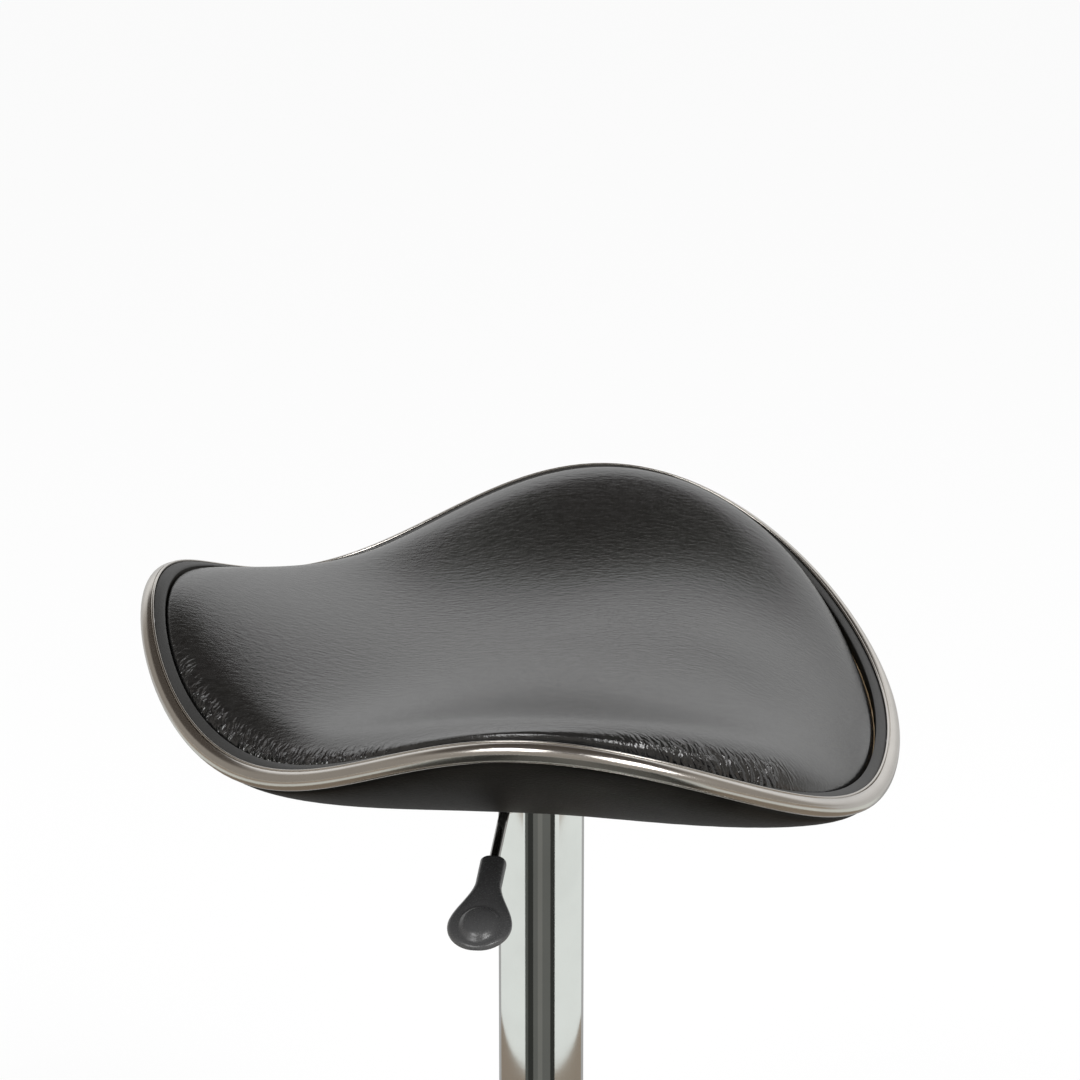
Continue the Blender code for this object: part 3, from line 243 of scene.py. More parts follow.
class Finish:
    """A node tree under construction, for a material or for the world."""

    def __init__(self, holder):
        holder.use_nodes = True
        self.holder = holder
        self.tree = holder.node_tree
        self.tree.nodes.clear()

    def node(self, kind, settings=None, sockets=None, output=0):
        made = self.tree.nodes.new(kind)
        for name, value in (settings or {}).items():
            setattr(made, name, value)
        for name, value in (sockets or {}).items():
            self.feed(made.inputs[name], value)
        return Wire(self, made.outputs[output]) if made.outputs else None

    def feed(self, socket, value):
        if isinstance(value, Wire):
            self.tree.links.new(value.socket, socket)
        else:
            socket.default_value = value

    def ramp(self, value, low, high):
        """Zero below low, one above high and a smooth rise between them."""
        settings = {"interpolation_type": "SMOOTHSTEP"}
        sockets = {"Value": value, "From Min": low, "From Max": high}
        return self.node("ShaderNodeMapRange", settings, sockets)

    def blend(self, share, first, second):
        sockets = {"Factor": share, 6: first, 7: second}
        return self.node("ShaderNodeMix", {"data_type": "RGBA"}, sockets, 2)

    def place(self, *stretch):
        """Row-frame coordinates that stay with the piece, stretched if asked."""
        spot = self.node("ShaderNodeTexCoord", output=3)
        if not stretch:
            return spot
        return self.node("ShaderNodeVectorMath", {"operation": "MULTIPLY"}, {0: spot, 1: stretch})

    def noise(self, spot, scale, detail=2.0, roughness=0.5):
        sockets = {"Vector": spot, "Scale": scale, "Detail": detail, "Roughness": roughness}
        return self.node("ShaderNodeTexNoise", None, sockets)

    def cells(self, spot, scale):
        return self.node("ShaderNodeTexVoronoi", None, {"Vector": spot, "Scale": scale})

    def bump(self, height, depth, strength=1.0, below=None):
        sockets = {"Height": height, "Distance": depth, "Strength": strength}
        if below is not None:
            sockets["Normal"] = below
        return self.node("ShaderNodeBump", None, sockets)

    def surface(self, **sockets):
        """The one Principled surface, with socket names written with underscores."""
        named = {name.replace("_", " "): value for name, value in sockets.items()}
        shader = self.node("ShaderNodeBsdfPrincipled", None, named)
        self.node("ShaderNodeOutputMaterial", None, {"Surface": shader})
        return self.holder


def new_finish(name):
    return Finish(bpy.data.materials.new(name))


def opaque(red, green, blue):
    return (red, green, blue, 1.0)


def grey(level):
    return opaque(level, level, level)


# %% [markdown]
# ## Camera
# The photograph was fitted to the saddle's rim: it looks down by 21 degrees, from 5 degrees towards
# the sitter's front, through a long lens. The rim's centre falls below the middle of the picture,
# so the camera is aimed a little above it, which keeps the lens free of shift.

# %% Camera at the photograph's angle
VIEW_AZIMUTH = math.radians(5.27)
VIEW_ELEVATION = math.radians(20.95)
VIEW_DISTANCE = 2.60
PIXEL = 0.000575
FRAME_PIXELS = 1080
RIM_CENTRE_PIXEL = (536.7, 647.8)
SENSOR_WIDTH = 36.0

rim_centre = Vector((*SEAT_CENTRE, RIM_HEIGHT))
away = Vector((
    math.sin(VIEW_AZIMUTH) * math.cos(VIEW_ELEVATION),
    -math.cos(VIEW_AZIMUTH) * math.cos(VIEW_ELEVATION),
    math.sin(VIEW_ELEVATION),
))
right = away.cross(Vector((0.0, 0.0, -1.0))).normalized()
up = away.cross(right)
camera = bpy.data.objects.new("camera", bpy.data.cameras.new("camera"))
bpy.context.scene.collection.objects.link(camera)
camera.location = rim_centre + VIEW_DISTANCE * away
aim = rim_centre + (FRAME_PIXELS / 2 - RIM_CENTRE_PIXEL[0]) * PIXEL * right
aim += (RIM_CENTRE_PIXEL[1] - FRAME_PIXELS / 2) * PIXEL * up
camera.rotation_euler = (aim - camera.location).to_track_quat("-Z", "Y").to_euler()
camera.data.sensor_width = SENSOR_WIDTH
camera.data.lens = SENSOR_WIDTH * VIEW_DISTANCE / (FRAME_PIXELS * PIXEL)
camera.data.clip_end = 100.0
bpy.context.scene.camera = camera
bpy.context.scene.view_settings.view_transform = "Standard"
print("lens", round(camera.data.lens, 1), "mm, up axis", [round(x, 3) for x in up])

# %% [markdown]
# ## Room and light
# The stool was photographed on white paper. An emission sheet would give the white, but it would
# lose the shadow under the base, so the paper is diffuse and only brightened for the lens. Chrome
# sees a third thing: a pale grey-green, which is what the photograph's column shows.

# %% White sweep
SWEEP = 14.0
PAPER = 0.90
GLOW_SHARE = 0.75
floor_mesh = bpy.data.meshes.new("floor")
floor_corners = [(SWEEP * x, SWEEP * y, 0.0) for x, y in ((-1, -1), (1, -1), (1, 1), (-1, 1))]
floor_mesh.from_pydata(floor_corners, [], [(0, 1, 2, 3)])
floor = bpy.data.objects.new("floor", floor_mesh)
bpy.context.scene.collection.objects.link(floor)


def light_paths(finish):
    """Camera rays and glossy rays, as two wires."""
    camera_ray = finish.node("ShaderNodeLightPath")
    return camera_ray, camera_ray.sibling("Is Glossy Ray")


def make_sweep():
    """Paper that is white to the lens, keeps its shadows, and is a pale grey-green in a mirror."""
    sweep = new_finish("white_sweep")
    camera_ray, glossy_ray = light_paths(sweep)
    paper = sweep.node("ShaderNodeBsdfDiffuse", None, {"Color": grey(PAPER)})
    glow = sweep.node("ShaderNodeEmission", None, {"Color": grey(1.0), "Strength": 1.0})
    pale_colour = opaque(0.77, 0.80, 0.77)
    pale = sweep.node("ShaderNodeEmission", None, {"Color": pale_colour, "Strength": 1.0})
    seen = sweep.node("ShaderNodeMixShader", None, {0: camera_ray * GLOW_SHARE, 1: paper, 2: glow})
    mirrored = sweep.node("ShaderNodeMixShader", None, {0: glossy_ray, 1: seen, 2: pale})
    sweep.node("ShaderNodeOutputMaterial", None, {"Surface": mirrored})
    return sweep.holder


floor_mesh.materials.append(make_sweep())
print("paper sweep", 2 * SWEEP, "m wide")

# %% [markdown]
# ## Walls and ceiling
# Black leatherette seen at a low angle is mostly a picture of what lies behind it: the pale back
# wall makes the seat's grey sheen, and the dim ceiling keeps skin that tilts up to the lens black.
# A picture of a studio could serve, but a few ramps over the direction say what each wall does.

# %% Walls and ceiling of the studio
HORIZON_SHARE = 0.70
HORIZON_FADE = 0.40
FRONT_WALL = opaque(0.36, 0.335, 0.305)
FRONT_FROM, FRONT_TO = 0.80, 0.50
CEILING = opaque(0.075, 0.063, 0.053)
CEILING_FROM, CEILING_TO = 0.51, 0.62
CEILING_LIFT_IN_FRONT = 0.12
AMBIENT_LEVEL = 0.90


def make_sky():
    """A white back wall and a warm front one under a dim brown ceiling. Only mirrors see them."""
    world = bpy.data.worlds.new("studio")
    sky = Finish(world)
    heading = sky.node("ShaderNodeSeparateXYZ", None, {0: sky.node("ShaderNodeTexCoord", output=0)})
    height = heading.sibling("Z")
    in_front = 1 - sky.ramp(heading.sibling("Y"), FRONT_TO, FRONT_FROM)
    back_wall = HORIZON_SHARE + (1 - HORIZON_SHARE) * sky.ramp(height, 0.0, HORIZON_FADE)
    above = sky.ramp(height - CEILING_LIFT_IN_FRONT * in_front, CEILING_FROM, CEILING_TO)
    mirrored = sky.blend(above, sky.blend(in_front, back_wall, FRONT_WALL), CEILING)
    camera_ray, glossy_ray = light_paths(sky)
    unseen = sky.blend(glossy_ray, grey(AMBIENT_LEVEL), mirrored)
    seen = sky.blend(camera_ray, unseen, grey(1.0))
    studio = sky.node("ShaderNodeBackground", None, {"Color": seen, "Strength": 1.0})
    sky.node("ShaderNodeOutputWorld", None, {"Surface": studio})
    return world


bpy.context.scene.world = make_sky()
print("studio made with", len(bpy.context.scene.world.node_tree.nodes), "nodes")

# %% [markdown]
# ## Lamps
# Three softboxes hang in front of the stool and to its sides. They draw the bright lines on the
# bead, the glints in the puckers and the two spots on the thumb pad. A lamp overhead would grey the
# whole seat, and strong ones would bleach it, so the walls give most of the light.

# %% Soft lamps
LAMP_TARGET = Vector((0.0, 0.0, 0.58))
LAMPS = {
    "key": ((-0.73, -1.39, 2.26), (1.0, 0.8), 16.0),
    "fill": ((1.17, -1.24, 2.12), (1.0, 0.8), 16.0),
    "side": ((1.40, -0.92, 2.12), (0.55, 0.8), 9.0),
}


def soft_lamp(name, place, size, watts):
    lamp = bpy.data.lights.new(name, "AREA")
    lamp.shape = "RECTANGLE"
    lamp.size, lamp.size_y = size
    lamp.energy = watts
    holder = bpy.data.objects.new(name, lamp)
    bpy.context.scene.collection.objects.link(holder)
    holder.location = place
    holder.rotation_euler = (LAMP_TARGET - Vector(place)).to_track_quat("-Z", "Y").to_euler()


for lamp_name, lamp in LAMPS.items():
    soft_lamp(lamp_name, *lamp)
print("softboxes:", ", ".join(LAMPS))

# %% [markdown]
# ## Cards for the chrome
# Chrome has no colour of its own: what is read as its form is the room in it. The photograph's
# column is pale with one dark stripe that faces the lens, so the floor was dark in front. Its bead
# is brown at the sides, with paler aisles further off, and the far edge of the seat mirrors a
# greyer floor behind. Cards that only mirrors can see stand in for all this, as flags do in a studio.

# %% Cards on the floor
CARD_STEPS = 24
# near and far radius, first and last azimuth from the lens, colour, height off the floor
CARDS = {
    "dark_patch": (0.28, 9.0, -43.0, 36.0, (0.032, 0.033, 0.030), 0.002),
    "shade_edge": (0.28, 9.0, -43.0, -35.0, (0.085, 0.090, 0.082), 0.004),
    "dim_patch": (0.28, 9.0, -21.0, 24.0, (0.120, 0.122, 0.113), 0.004),
    "pale_path": (0.28, 9.0, -9.0, 3.0, (0.165, 0.165, 0.152), 0.006),
    "floor_behind": (0.28, 1.6, 138.0, 222.0, (0.40, 0.40, 0.395), 0.004),
    "floor_far": (1.6, 13.0, 110.0, 250.0, (0.64, 0.64, 0.635), 0.004),
    "mat_left": (0.21, 0.84, -150.0, -38.0, (0.27, 0.225, 0.18), 0.003),
    "mat_right": (0.21, 0.84, 36.0, 150.0, (0.29, 0.245, 0.195), 0.003),
    "aisle_left": (1.75, 2.3, -130.0, -48.0, (0.46, 0.42, 0.37), 0.003),
    "aisle_right": (1.75, 2.3, 48.0, 120.0, (0.46, 0.42, 0.37), 0.003),
    "boards_left": (2.3, 9.0, -130.0, -48.0, (0.40, 0.34, 0.28), 0.003),
    "boards_right": (2.3, 9.0, 48.0, 120.0, (0.38, 0.32, 0.26), 0.003),
}


def floor_card(name, near, far, start, end, colour, lift):
    """A ring sector of floor that only mirrors see."""
    centre = VIEW_AZIMUTH - 0.5 * math.pi
    ring = []
    for step in range(CARD_STEPS + 1):
        angle = centre + math.radians(start + (end - start) * step / CARD_STEPS)
        ring.append((math.cos(angle), math.sin(angle)))
    corners = [(radius * x, radius * y, lift) for radius in (near, far) for x, y in ring]
    faces = [(i, i + 1, CARD_STEPS + 2 + i, CARD_STEPS + 1 + i) for i in range(CARD_STEPS)]
    mesh = bpy.data.meshes.new(name)
    mesh.from_pydata(corners, [], faces)
    card = bpy.data.objects.new(name, mesh)
    bpy.context.scene.collection.objects.link(card)
    finish = new_finish(name)
    light = finish.node("ShaderNodeEmission", None, {"Color": opaque(*colour), "Strength": 1.0})
    finish.node("ShaderNodeOutputMaterial", None, {"Surface": light})
    mesh.materials.append(finish.holder)
    card.visible_camera = False
    card.visible_diffuse = False
    card.visible_shadow = False
    card.visible_transmission = False


for card_name, card in CARDS.items():
    floor_card(card_name, *card)
print(len(CARDS), "cards laid on the floor")

# %% [markdown]
# ## Leatherette
# Leatherette is a printed skin: shallow creases a few millimetres apart that run across the seat,
# finer pebbles between them, and puckers square to the edge where it is pulled over the padding. A
# photographed skin would repeat and carry its own light, so noise draws it. The sheen is the
# surface's own gloss, with a trace of lacquer on the creases, so the colour stays nearly black.
# Its colour is painted darker in the crease hollows, as painted shade, and lighter on the crease
# ridges, as painted light.

# %% Black leatherette
CREASE_STRETCH = (170.0, 400.0, 300.0)
CREASE_DEPTH = 0.0006
PUCKER_DEPTH = 0.0014
PUCKER_REACH = 0.014
PUCKERS_PER_METRE = 340.0
PUCKER_LEAN = 130.0
PUCKER_WANDER = 2.4
PUCKER_MIDDLE = 0.008
SIDE_FROM, SIDE_TO = 0.055, 0.11
FORE_FROM, FORE_TO = 0.03, 0.10
FRONT_BARE_FROM, FRONT_BARE_TO = 0.135, 0.155


def kept_value(finish, name):
    return finish.node("ShaderNodeAttribute", {"attribute_name": name}, None, 2)


def edge_folds(skin, spot, drift):
    """The puckers along both sides, and the strip of edge that they lie in."""
    along, inward = kept_value(skin, "along_edge"), kept_value(skin, "in_from_edge")
    wander = skin.noise(spot, 130.0, 2.0)
    across = along * PUCKERS_PER_METRE + inward * PUCKER_LEAN + wander * PUCKER_WANDER
    pulled = {"X": across, "Y": inward * 150.0 + wander, "Z": drift}
    fold_cells = skin.cells(skin.node("ShaderNodeCombineXYZ", None, pulled), 1.0)
    folds = 1 - skin.ramp(fold_cells, 0.05, 0.80)
    apart = skin.node("ShaderNodeSeparateXYZ", None, {0: spot})
    side, fore = abs(apart.sibling("Y")), abs(apart - PUCKER_MIDDLE)
    strip = 1 - skin.ramp(inward, 0.3 * PUCKER_REACH, PUCKER_REACH)
    strip = strip * skin.ramp(side, SIDE_FROM, SIDE_TO)
    front_bare = skin.ramp(apart, FRONT_BARE_FROM, FRONT_BARE_TO)
    stretch = skin.ramp(fore, FORE_FROM, FORE_TO) * (1 - front_bare)
    return folds * strip * stretch * skin.ramp(drift, 0.25, 0.55), strip


def make_leatherette():
    skin = new_finish("black_leatherette")
    spot = skin.place()
    drift = skin.noise(spot, 11.0, 3.0)
    creases = skin.noise(skin.place(*CREASE_STRETCH), 1.0, 4.0, 0.62)
    puckers, strip = edge_folds(skin, spot, drift)
    fine = skin.bump(creases + 0.3 * skin.cells(spot, 900.0), CREASE_DEPTH, 0.42)
    relief = skin.bump(puckers, PUCKER_DEPTH, 1.0, fine)
    # Painted shade and light: the skin's colour is darker in the crease hollows and lighter on their
    # ridges.
    shaded_hollow, lit_ridge = opaque(0.0060, 0.0060, 0.0059), opaque(0.0125, 0.0125, 0.0122)
    tone = skin.blend(skin.ramp(creases, 0.3, 0.7), shaded_hollow, lit_ridge)
    gloss = 0.14 + 0.11 * creases - 0.03 * strip
    lacquer = 0.05 * skin.ramp(creases, 0.40, 0.62)
    looks = {"Base_Color": tone, "Roughness": gloss, "Normal": relief, "Coat_Weight": lacquer}
    return skin.surface(**looks, IOR=1.65)


leatherette = make_leatherette()
print("leatherette has", len(leatherette.node_tree.nodes), "nodes")

# %% [markdown]
# ## Chrome
# The column and foot are nickel and chrome over steel, the bead is a plated strip that has gone a
# little soft and warm, and the lever's rod has a dark plate. One recipe serves: a tint, a haze, and
# faint clouds and wipe marks, which are all that tells real plate from a mirror.


# %% Chrome plate
def make_chrome(name, tint, haze):
    """Plate with a breath of uneven polish."""
    plate = new_finish(name)
    spot = plate.place()
    clouds = plate.noise(spot, 26.0, 4.0)
    wipes = plate.noise(plate.place(40.0, 40.0, 700.0), 1.0, 2.0)
    dull = tuple(0.93 * part for part in tint)
    colour = plate.blend(plate.ramp(clouds, 0.35, 0.75), opaque(*tint), opaque(*dull))
    gloss = haze + 0.05 * clouds + 0.02 * wipes
    ripple = plate.bump(clouds, 0.0004, 0.05)
    return plate.surface(Base_Color=colour, Metallic=1.0, Roughness=gloss, Normal=ripple)


chrome = make_chrome("chrome_plate", (0.86, 0.865, 0.855), 0.035)
bead_chrome = make_chrome("bead_polish", (0.62, 0.59, 0.55), 0.17)
rod_plate = make_chrome("rod_dark_plate", (0.42, 0.41, 0.395), 0.06)
print("three platings made")

# %% [markdown]
# ## Moulded plastics
# The shell and the paddle are injection mouldings from a spark-eroded tool, which leaves a fine
# even grain. The shell is nearly matt, the paddle has a satin gloss. Rubber and acetal differ only
# in tone and gloss.


# %% Moulded plastics
def make_moulded(name, low, high, gloss, grain_scale, depth, shine=0.5):
    """A fine, even grain with slow changes of tone."""
    plastic = new_finish(name)
    spot = plastic.place()
    clouds = plastic.noise(spot, 14.0, 3.0)
    grain = plastic.noise(spot, grain_scale, 3.0, 0.6)
    tone = plastic.blend(plastic.ramp(clouds, 0.3, 0.7), opaque(*low), opaque(*high))
    rough = gloss + 0.14 * grain + 0.05 * clouds
    relief = plastic.bump(grain, depth, 0.5)
    looks = {"Base_Color": tone, "Roughness": rough, "Normal": relief}
    return plastic.surface(**looks, Specular_IOR_Level=shine)


shell_tones = (0.0040, 0.0036, 0.0028), (0.0115, 0.0105, 0.0087)
shell_plastic = make_moulded("shell_moulding", *shell_tones, 0.36, 620.0, 0.0004, 0.08)
# Painted sheen: the band is the shell's own moulding made lighter, standing in for the bright wall it
# reflects.
painted_sheen_band_tones = (0.025, 0.025, 0.0246), (0.031, 0.031, 0.0306)
painted_sheen_band = make_moulded("band_moulding_painted_sheen", *painted_sheen_band_tones, 0.40, 620.0, 0.0003)
handle_tones = (0.062, 0.062, 0.0625), (0.076, 0.076, 0.0765)
handle_plastic = make_moulded("handle_moulding", *handle_tones, 0.17, 900.0, 0.0002)
acetal_tones = (0.70, 0.69, 0.64), (0.78, 0.77, 0.72)
acetal = make_moulded("natural_acetal", *acetal_tones, 0.34, 500.0, 0.0001)
rubber_tones = (0.014, 0.014, 0.014), (0.024, 0.024, 0.024)
rubber = make_moulded("black_rubber", *rubber_tones, 0.62, 700.0, 0.0003)
print("five mouldings made")

# %% [markdown]
# ## Metals and wood out of sight
# Plate, screws, bearing, ballast and board show only from below or when the seat is raised. They
# get plain finishes: powder coat, ground steel, cast iron and the long grain of a rotary-cut
# veneer.


# %% Metals and wood out of sight
def make_metal(name, colour, metallic, gloss, scale, depth):
    """Bar stock or paint over steel: speckled a little in tone and gloss."""
    metal = new_finish(name)
    spot = metal.place()
    specks = metal.noise(spot, scale, 4.0, 0.65)
    worn = tuple(min(1.0, 1.25 * part) for part in colour)
    tone = metal.blend(metal.ramp(specks, 0.35, 0.8), opaque(*colour), opaque(*worn))
    rough = gloss + 0.2 * specks
    relief = metal.bump(specks, depth, 0.5)
    return metal.surface(Base_Color=tone, Metallic=metallic, Roughness=rough, Normal=relief)


black_steel = make_metal("black_powder_coat", (0.014, 0.014, 0.0145), 0.0, 0.34, 1100.0, 0.0002)
bright_steel = make_metal("bright_steel", (0.55, 0.55, 0.56), 1.0, 0.18, 500.0, 0.00005)
iron = make_metal("cast_iron", (0.045, 0.044, 0.043), 0.0, 0.55, 240.0, 0.0006)


def make_plywood():
    """Rotary-cut face veneer: long pale grain lines that wander."""
    wood = new_finish("moulded_plywood")
    grain = wood.noise(wood.place(18.0, 160.0, 160.0), 1.0, 4.0, 0.6)
    dark, pale = opaque(0.42, 0.28, 0.15), opaque(0.62, 0.46, 0.28)
    tone = wood.blend(wood.ramp(grain, 0.3, 0.7), dark, pale)
    relief = wood.bump(grain, 0.0003, 0.5)
    return wood.surface(Base_Color=tone, Roughness=0.5 + 0.25 * grain, Normal=relief)


plywood = make_plywood()
print(len(bpy.data.materials), "finishes made")

# %% [markdown]
# ## Finishes for the CAD pieces that stay
# Fasteners, plate and bearing keep their CAD solids, which are fine enough for pieces this small.
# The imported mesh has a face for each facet, so a Weld joins the points and an Edge Split keeps the
# true corners while the rest shades smooth.

# %% Dress the CAD nodes
WELD_DISTANCE = 0.00002
BY_SLOT = {
    "leatherette": leatherette,
    "moulded": shell_plastic,
    "handle": handle_plastic,
    "chrome": chrome,
    "black_steel": black_steel,
    "bright_steel": bright_steel,
    "plywood": plywood,
    "acetal": acetal,
    "rubber": rubber,
    "iron": iron,
}
for part in frame["record"]["subparts"]:
    node = frame["nodes"][part["node"]]
    node.data.materials.clear()
    node.data.materials.append(BY_SLOT[part["material_slot"]])
    node.data.shade_smooth()
    weld = node.modifiers.new("weld", "WELD")
    weld.merge_threshold = WELD_DISTANCE
    split = node.modifiers.new("corners", "EDGE_SPLIT")
    split.split_angle = SMOOTH_ANGLE
print("CAD nodes dressed:", len(frame["nodes"]))

# %% [markdown]
# ## The moulded shell
# The shell is one moulding: a narrow band round the cushion, an upright rim behind the bead and a
# bowl down to the seat plate. The bowl is a quarter of a superellipse at each angle, leaner at the
# sides than at the ends. It is lofted again here with three times the CAD's facets, so its lower
# edge runs smooth.

# %% Seat shell
BAND_WIDTH = 0.0065
BAND_ROUNDING = 0.0011
POCKET_DEPTH = 0.0125
POCKET_LEDGE = 0.0060
SHELL_FACE = 0.0003
SHELL_RIM_DEPTH = 0.0130
SHELL_FLAT_RADIUS = 0.0800
SHELL_FLOOR = RIM_HEIGHT - 0.0660
WELL_RADIUS = 0.0600
WELL_DEPTH = 0.0180
WELL_CHAMFER = 0.002
BOWL_STEPS = 20
FULLNESS_SIDE = 1.25
FULLNESS_FRONT = 1.80
FULLNESS_BACK = 1.30


def ring_at(points, heights):
    return np.column_stack([points, heights + np.zeros(len(points))])


def rim_ring(inset, height):
    """A ring at a distance in from the outline and a height above the rim."""
    return ring_at(inset_outline(SEAT_ANGLES, inset), rim_heights + height)


def saddle_ring(inset, drop=0.0):
    """A ring that carries on the saddle's slope, as the moulded band does."""
    points = inset_outline(SEAT_ANGLES, inset)
    return ring_at(points, saddle_level(points) - drop)


def flat_ring(radius, height):
    return ring_at(radius * np.stack([np.cos(SEAT_ANGLES), np.sin(SEAT_ANGLES)], axis=-1), height)


def bowl_ring(turn_share):
    """A ring of the bowl, from the rim at 0 to the edge of its flat at 1."""
    swing = 0.5 * math.pi * turn_share
    end = np.where(np.cos(SEAT_ANGLES) > 0.0, FULLNESS_FRONT, FULLNESS_BACK)
    power = 2.0 / (FULLNESS_SIDE + (end - FULLNESS_SIDE) * np.cos(SEAT_ANGLES) ** 2)
    flat = flat_ring(SHELL_FLAT_RADIUS, 0.0)[:, :2]
    out = np.maximum(0.0, math.cos(swing)) ** power
    points = flat + out[:, None] * (inset_outline(SEAT_ANGLES, SHELL_FACE) - flat)
    top = rim_heights - SHELL_RIM_DEPTH
    return ring_at(points, top + math.sin(swing) ** power * (SHELL_FLOOR - top))


well_top = SHELL_FLOOR + WELL_DEPTH
shell_rings = [
    saddle_ring(BAND_WIDTH + POCKET_LEDGE, POCKET_DEPTH),
    saddle_ring(BAND_WIDTH, POCKET_DEPTH),
    saddle_ring(BAND_WIDTH, 0.0010),
    saddle_ring(BAND_WIDTH - 0.0003, 0.0003),
    saddle_ring(BAND_WIDTH - BAND_ROUNDING),
    saddle_ring(0.0012),
    saddle_ring(SHELL_FACE, 0.0006),
]
band_faces = slice(2 * len(SEAT_ANGLES), (len(shell_rings) - 1) * len(SEAT_ANGLES))
shell_rings += [bowl_ring(step / BOWL_STEPS) for step in range(BOWL_STEPS + 1)]
shell_rings += [
    flat_ring(WELL_RADIUS + WELL_CHAMFER, SHELL_FLOOR),
    flat_ring(WELL_RADIUS, SHELL_FLOOR + WELL_CHAMFER),
    flat_ring(WELL_RADIUS, well_top),
    [(0.0, 0.0, well_top)],
]
shell = loft("seat_shell_moulding", shell_rings)
dress(shell, "seat", "moulded", shell_plastic, "seat_shell")
# The band's faces take the lighter copy of the moulding, a painted sheen.
shell.data.materials.append(painted_sheen_band)
for face in shell.data.polygons[band_faces]:
    face.material_index = 1

# %% [markdown]
# ## The bead
# A chromed strip is pushed round the rim. Seen close it is a thin bright lip, a dark hairline
# groove and a fat half-round. A curve with a bevel profile would twist on the saddle, so its
# section is lofted ring by ring along the rim. The groove is real, because a bump could not hold
# the dark line at this angle.

# %% Edge trim
TRIM_BULGE = 0.0055
TRIM_HEIGHT = 0.0110
TRIM_LIP_WIDTH = 0.0014
TRIM_LIP_RISE = 0.0008
TRIM_GROOVE = 0.0007
GROOVE_DEPTH = 0.0010
LIP_STEPS = 6
BEAD_STEPS = 20


def trim_profile():
    """The strip's section as (inset, rise) from the rim: lip, groove, half-round and back."""
    middle, half = -TRIM_HEIGHT / 2.0, TRIM_HEIGHT / 2.0
    flank = TRIM_LIP_WIDTH + TRIM_GROOVE
    points = [(0.0, -0.004), (0.0, 0.4 * TRIM_LIP_RISE)]
    for step in range(LIP_STEPS + 1):
        swing = math.pi * step / LIP_STEPS
        across = 0.5 * TRIM_LIP_WIDTH * (1.0 - math.cos(swing))
        points.append((-across, 0.4 * TRIM_LIP_RISE + 0.6 * TRIM_LIP_RISE * math.sin(swing)))
    points += [(-TRIM_LIP_WIDTH - 0.0001, -0.0009), (-flank + 0.0001, -GROOVE_DEPTH)]
    for step in range(BEAD_STEPS + 1):
        swing = math.pi * step / BEAD_STEPS
        points.append((-flank - TRIM_BULGE * math.sin(swing), middle + half * math.cos(swing)))
    points += [(0.0, middle - half), (0.0, middle)]
    return points


trim = loft("edge_bead", [rim_ring(inset, rise) for inset, rise in trim_profile()], closed=True)
dress(trim, "seat", "chrome", bead_chrome, "edge_trim")

# %% [markdown]
# ## The stuffed saddle
# The cushion is foam under a pulled skin: full over both sides and thin at the back, flush with the
# band where the front droops, and tucked down along the sitter's right, as photographed. It starts
# here as a slack form with that crown, which low waves bend until its sheen falls where the
# photograph has it. It could be sculpted, but then it would no longer follow the rim's formula.

# %% Slack cushion
CUSHION_EDGE = BAND_WIDTH + 0.0012
CUSHION_DEPTH = 0.0050
BED_INSET = BAND_WIDTH + 0.0070
BED_DISH = 0.0090
CUSHION_CROWN = 0.0109
CROWN_FRONT = 0.0261
CROWN_SIDE = -0.0129
LEAST_CROWN = 0.0040
CROWN_SHARPNESS = 7.8
CROWN_SHARPNESS_NEAR = 8.0
ROLL_SHARPNESS = 14.0
ROLL_SHARPNESS_NEAR = 86.0
NEAR_FOCUS = 8
NEAR_TUCK = 0.0115
TUCK_ONSET = 4
TUCK_RELEASE = 40
FRONT_FOCUS = 6
FRONT_FLUSH = 0.85
FLUSH_ONSET = 8
MIDDLE_DIP = 0.0088
LEVELLING = {2: 0.53, 3: 1.65}
INNER_WAVES = (0.0, 0.0232, 0.0022, -0.0179, 0.0210, 0.0275)
MIDWAY_WAVES = (-0.0154, -0.0131, -0.0075, -0.0023, 0.0067, -0.0117)
OUTER_WAVES = (0.0051, -0.0086, 0.0144, -0.0066, -0.0358, 0.0012)
EDGE_ROLL = 0.0030
EDGE_SINK = 0.0026
SINK_ONSET = 16
SLACK = 0.0020
BAND_GAP = 0.0003
MIDDLE_SHARES = np.linspace(0.04, 0.88, 30)
EDGE_SHARES = (0.905, 0.927, 0.946, 0.962, 0.975, 0.985, 0.993, 0.998, 1.0)
BED_SHARES = (1.0, 0.93, 0.85, 0.7, 0.5, 0.3, 0.1)


def with_waves(padding, angle, share):
    """Level out the saddle's own waves, then add three sets of low ones from middle to edge."""
    for order, extra in LEVELLING.items():
        wave = RIM_WAVES[order] * np.cos(order * angle) * share**order
        padding = padding + wave * (share**extra - 1.0)
    left = 1.0 - share**2
    for order, sizes in enumerate(zip(INNER_WAVES, MIDWAY_WAVES, OUTER_WAVES)):
        inner, midway, outer = sizes
        size = inner * left + midway * share**2 + outer * share**6
        padding = padding + left * size * share**order * np.cos(order * angle)
    return padding - MIDDLE_DIP * left**2


def crown_rise(angle, share):
    """How far the padding stands above the saddle, from its middle to its edge."""
    swell = CUSHION_CROWN + CROWN_FRONT * share * np.cos(angle)
    swell = swell + CROWN_SIDE * share**2 * np.cos(2.0 * angle)
    swell = 0.5 * (swell + np.hypot(swell, LEAST_CROWN))
    near = np.minimum(np.sin(angle), 0.0) ** NEAR_FOCUS
    front = np.maximum(np.cos(angle), 0.0) ** FRONT_FOCUS
    flush = 1.0 - FRONT_FLUSH * front * share**FLUSH_ONSET
    crown = swell * np.sqrt(1.0 - share ** (CROWN_SHARPNESS + CROWN_SHARPNESS_NEAR * near))
    roll = EDGE_ROLL * np.sqrt(1.0 - share ** (ROLL_SHARPNESS + ROLL_SHARPNESS_NEAR * near))
    tuck = NEAR_TUCK * near * share**TUCK_ONSET * (1.0 - share**TUCK_RELEASE)
    return with_waves(flush * (crown + roll) - tuck, angle, share)


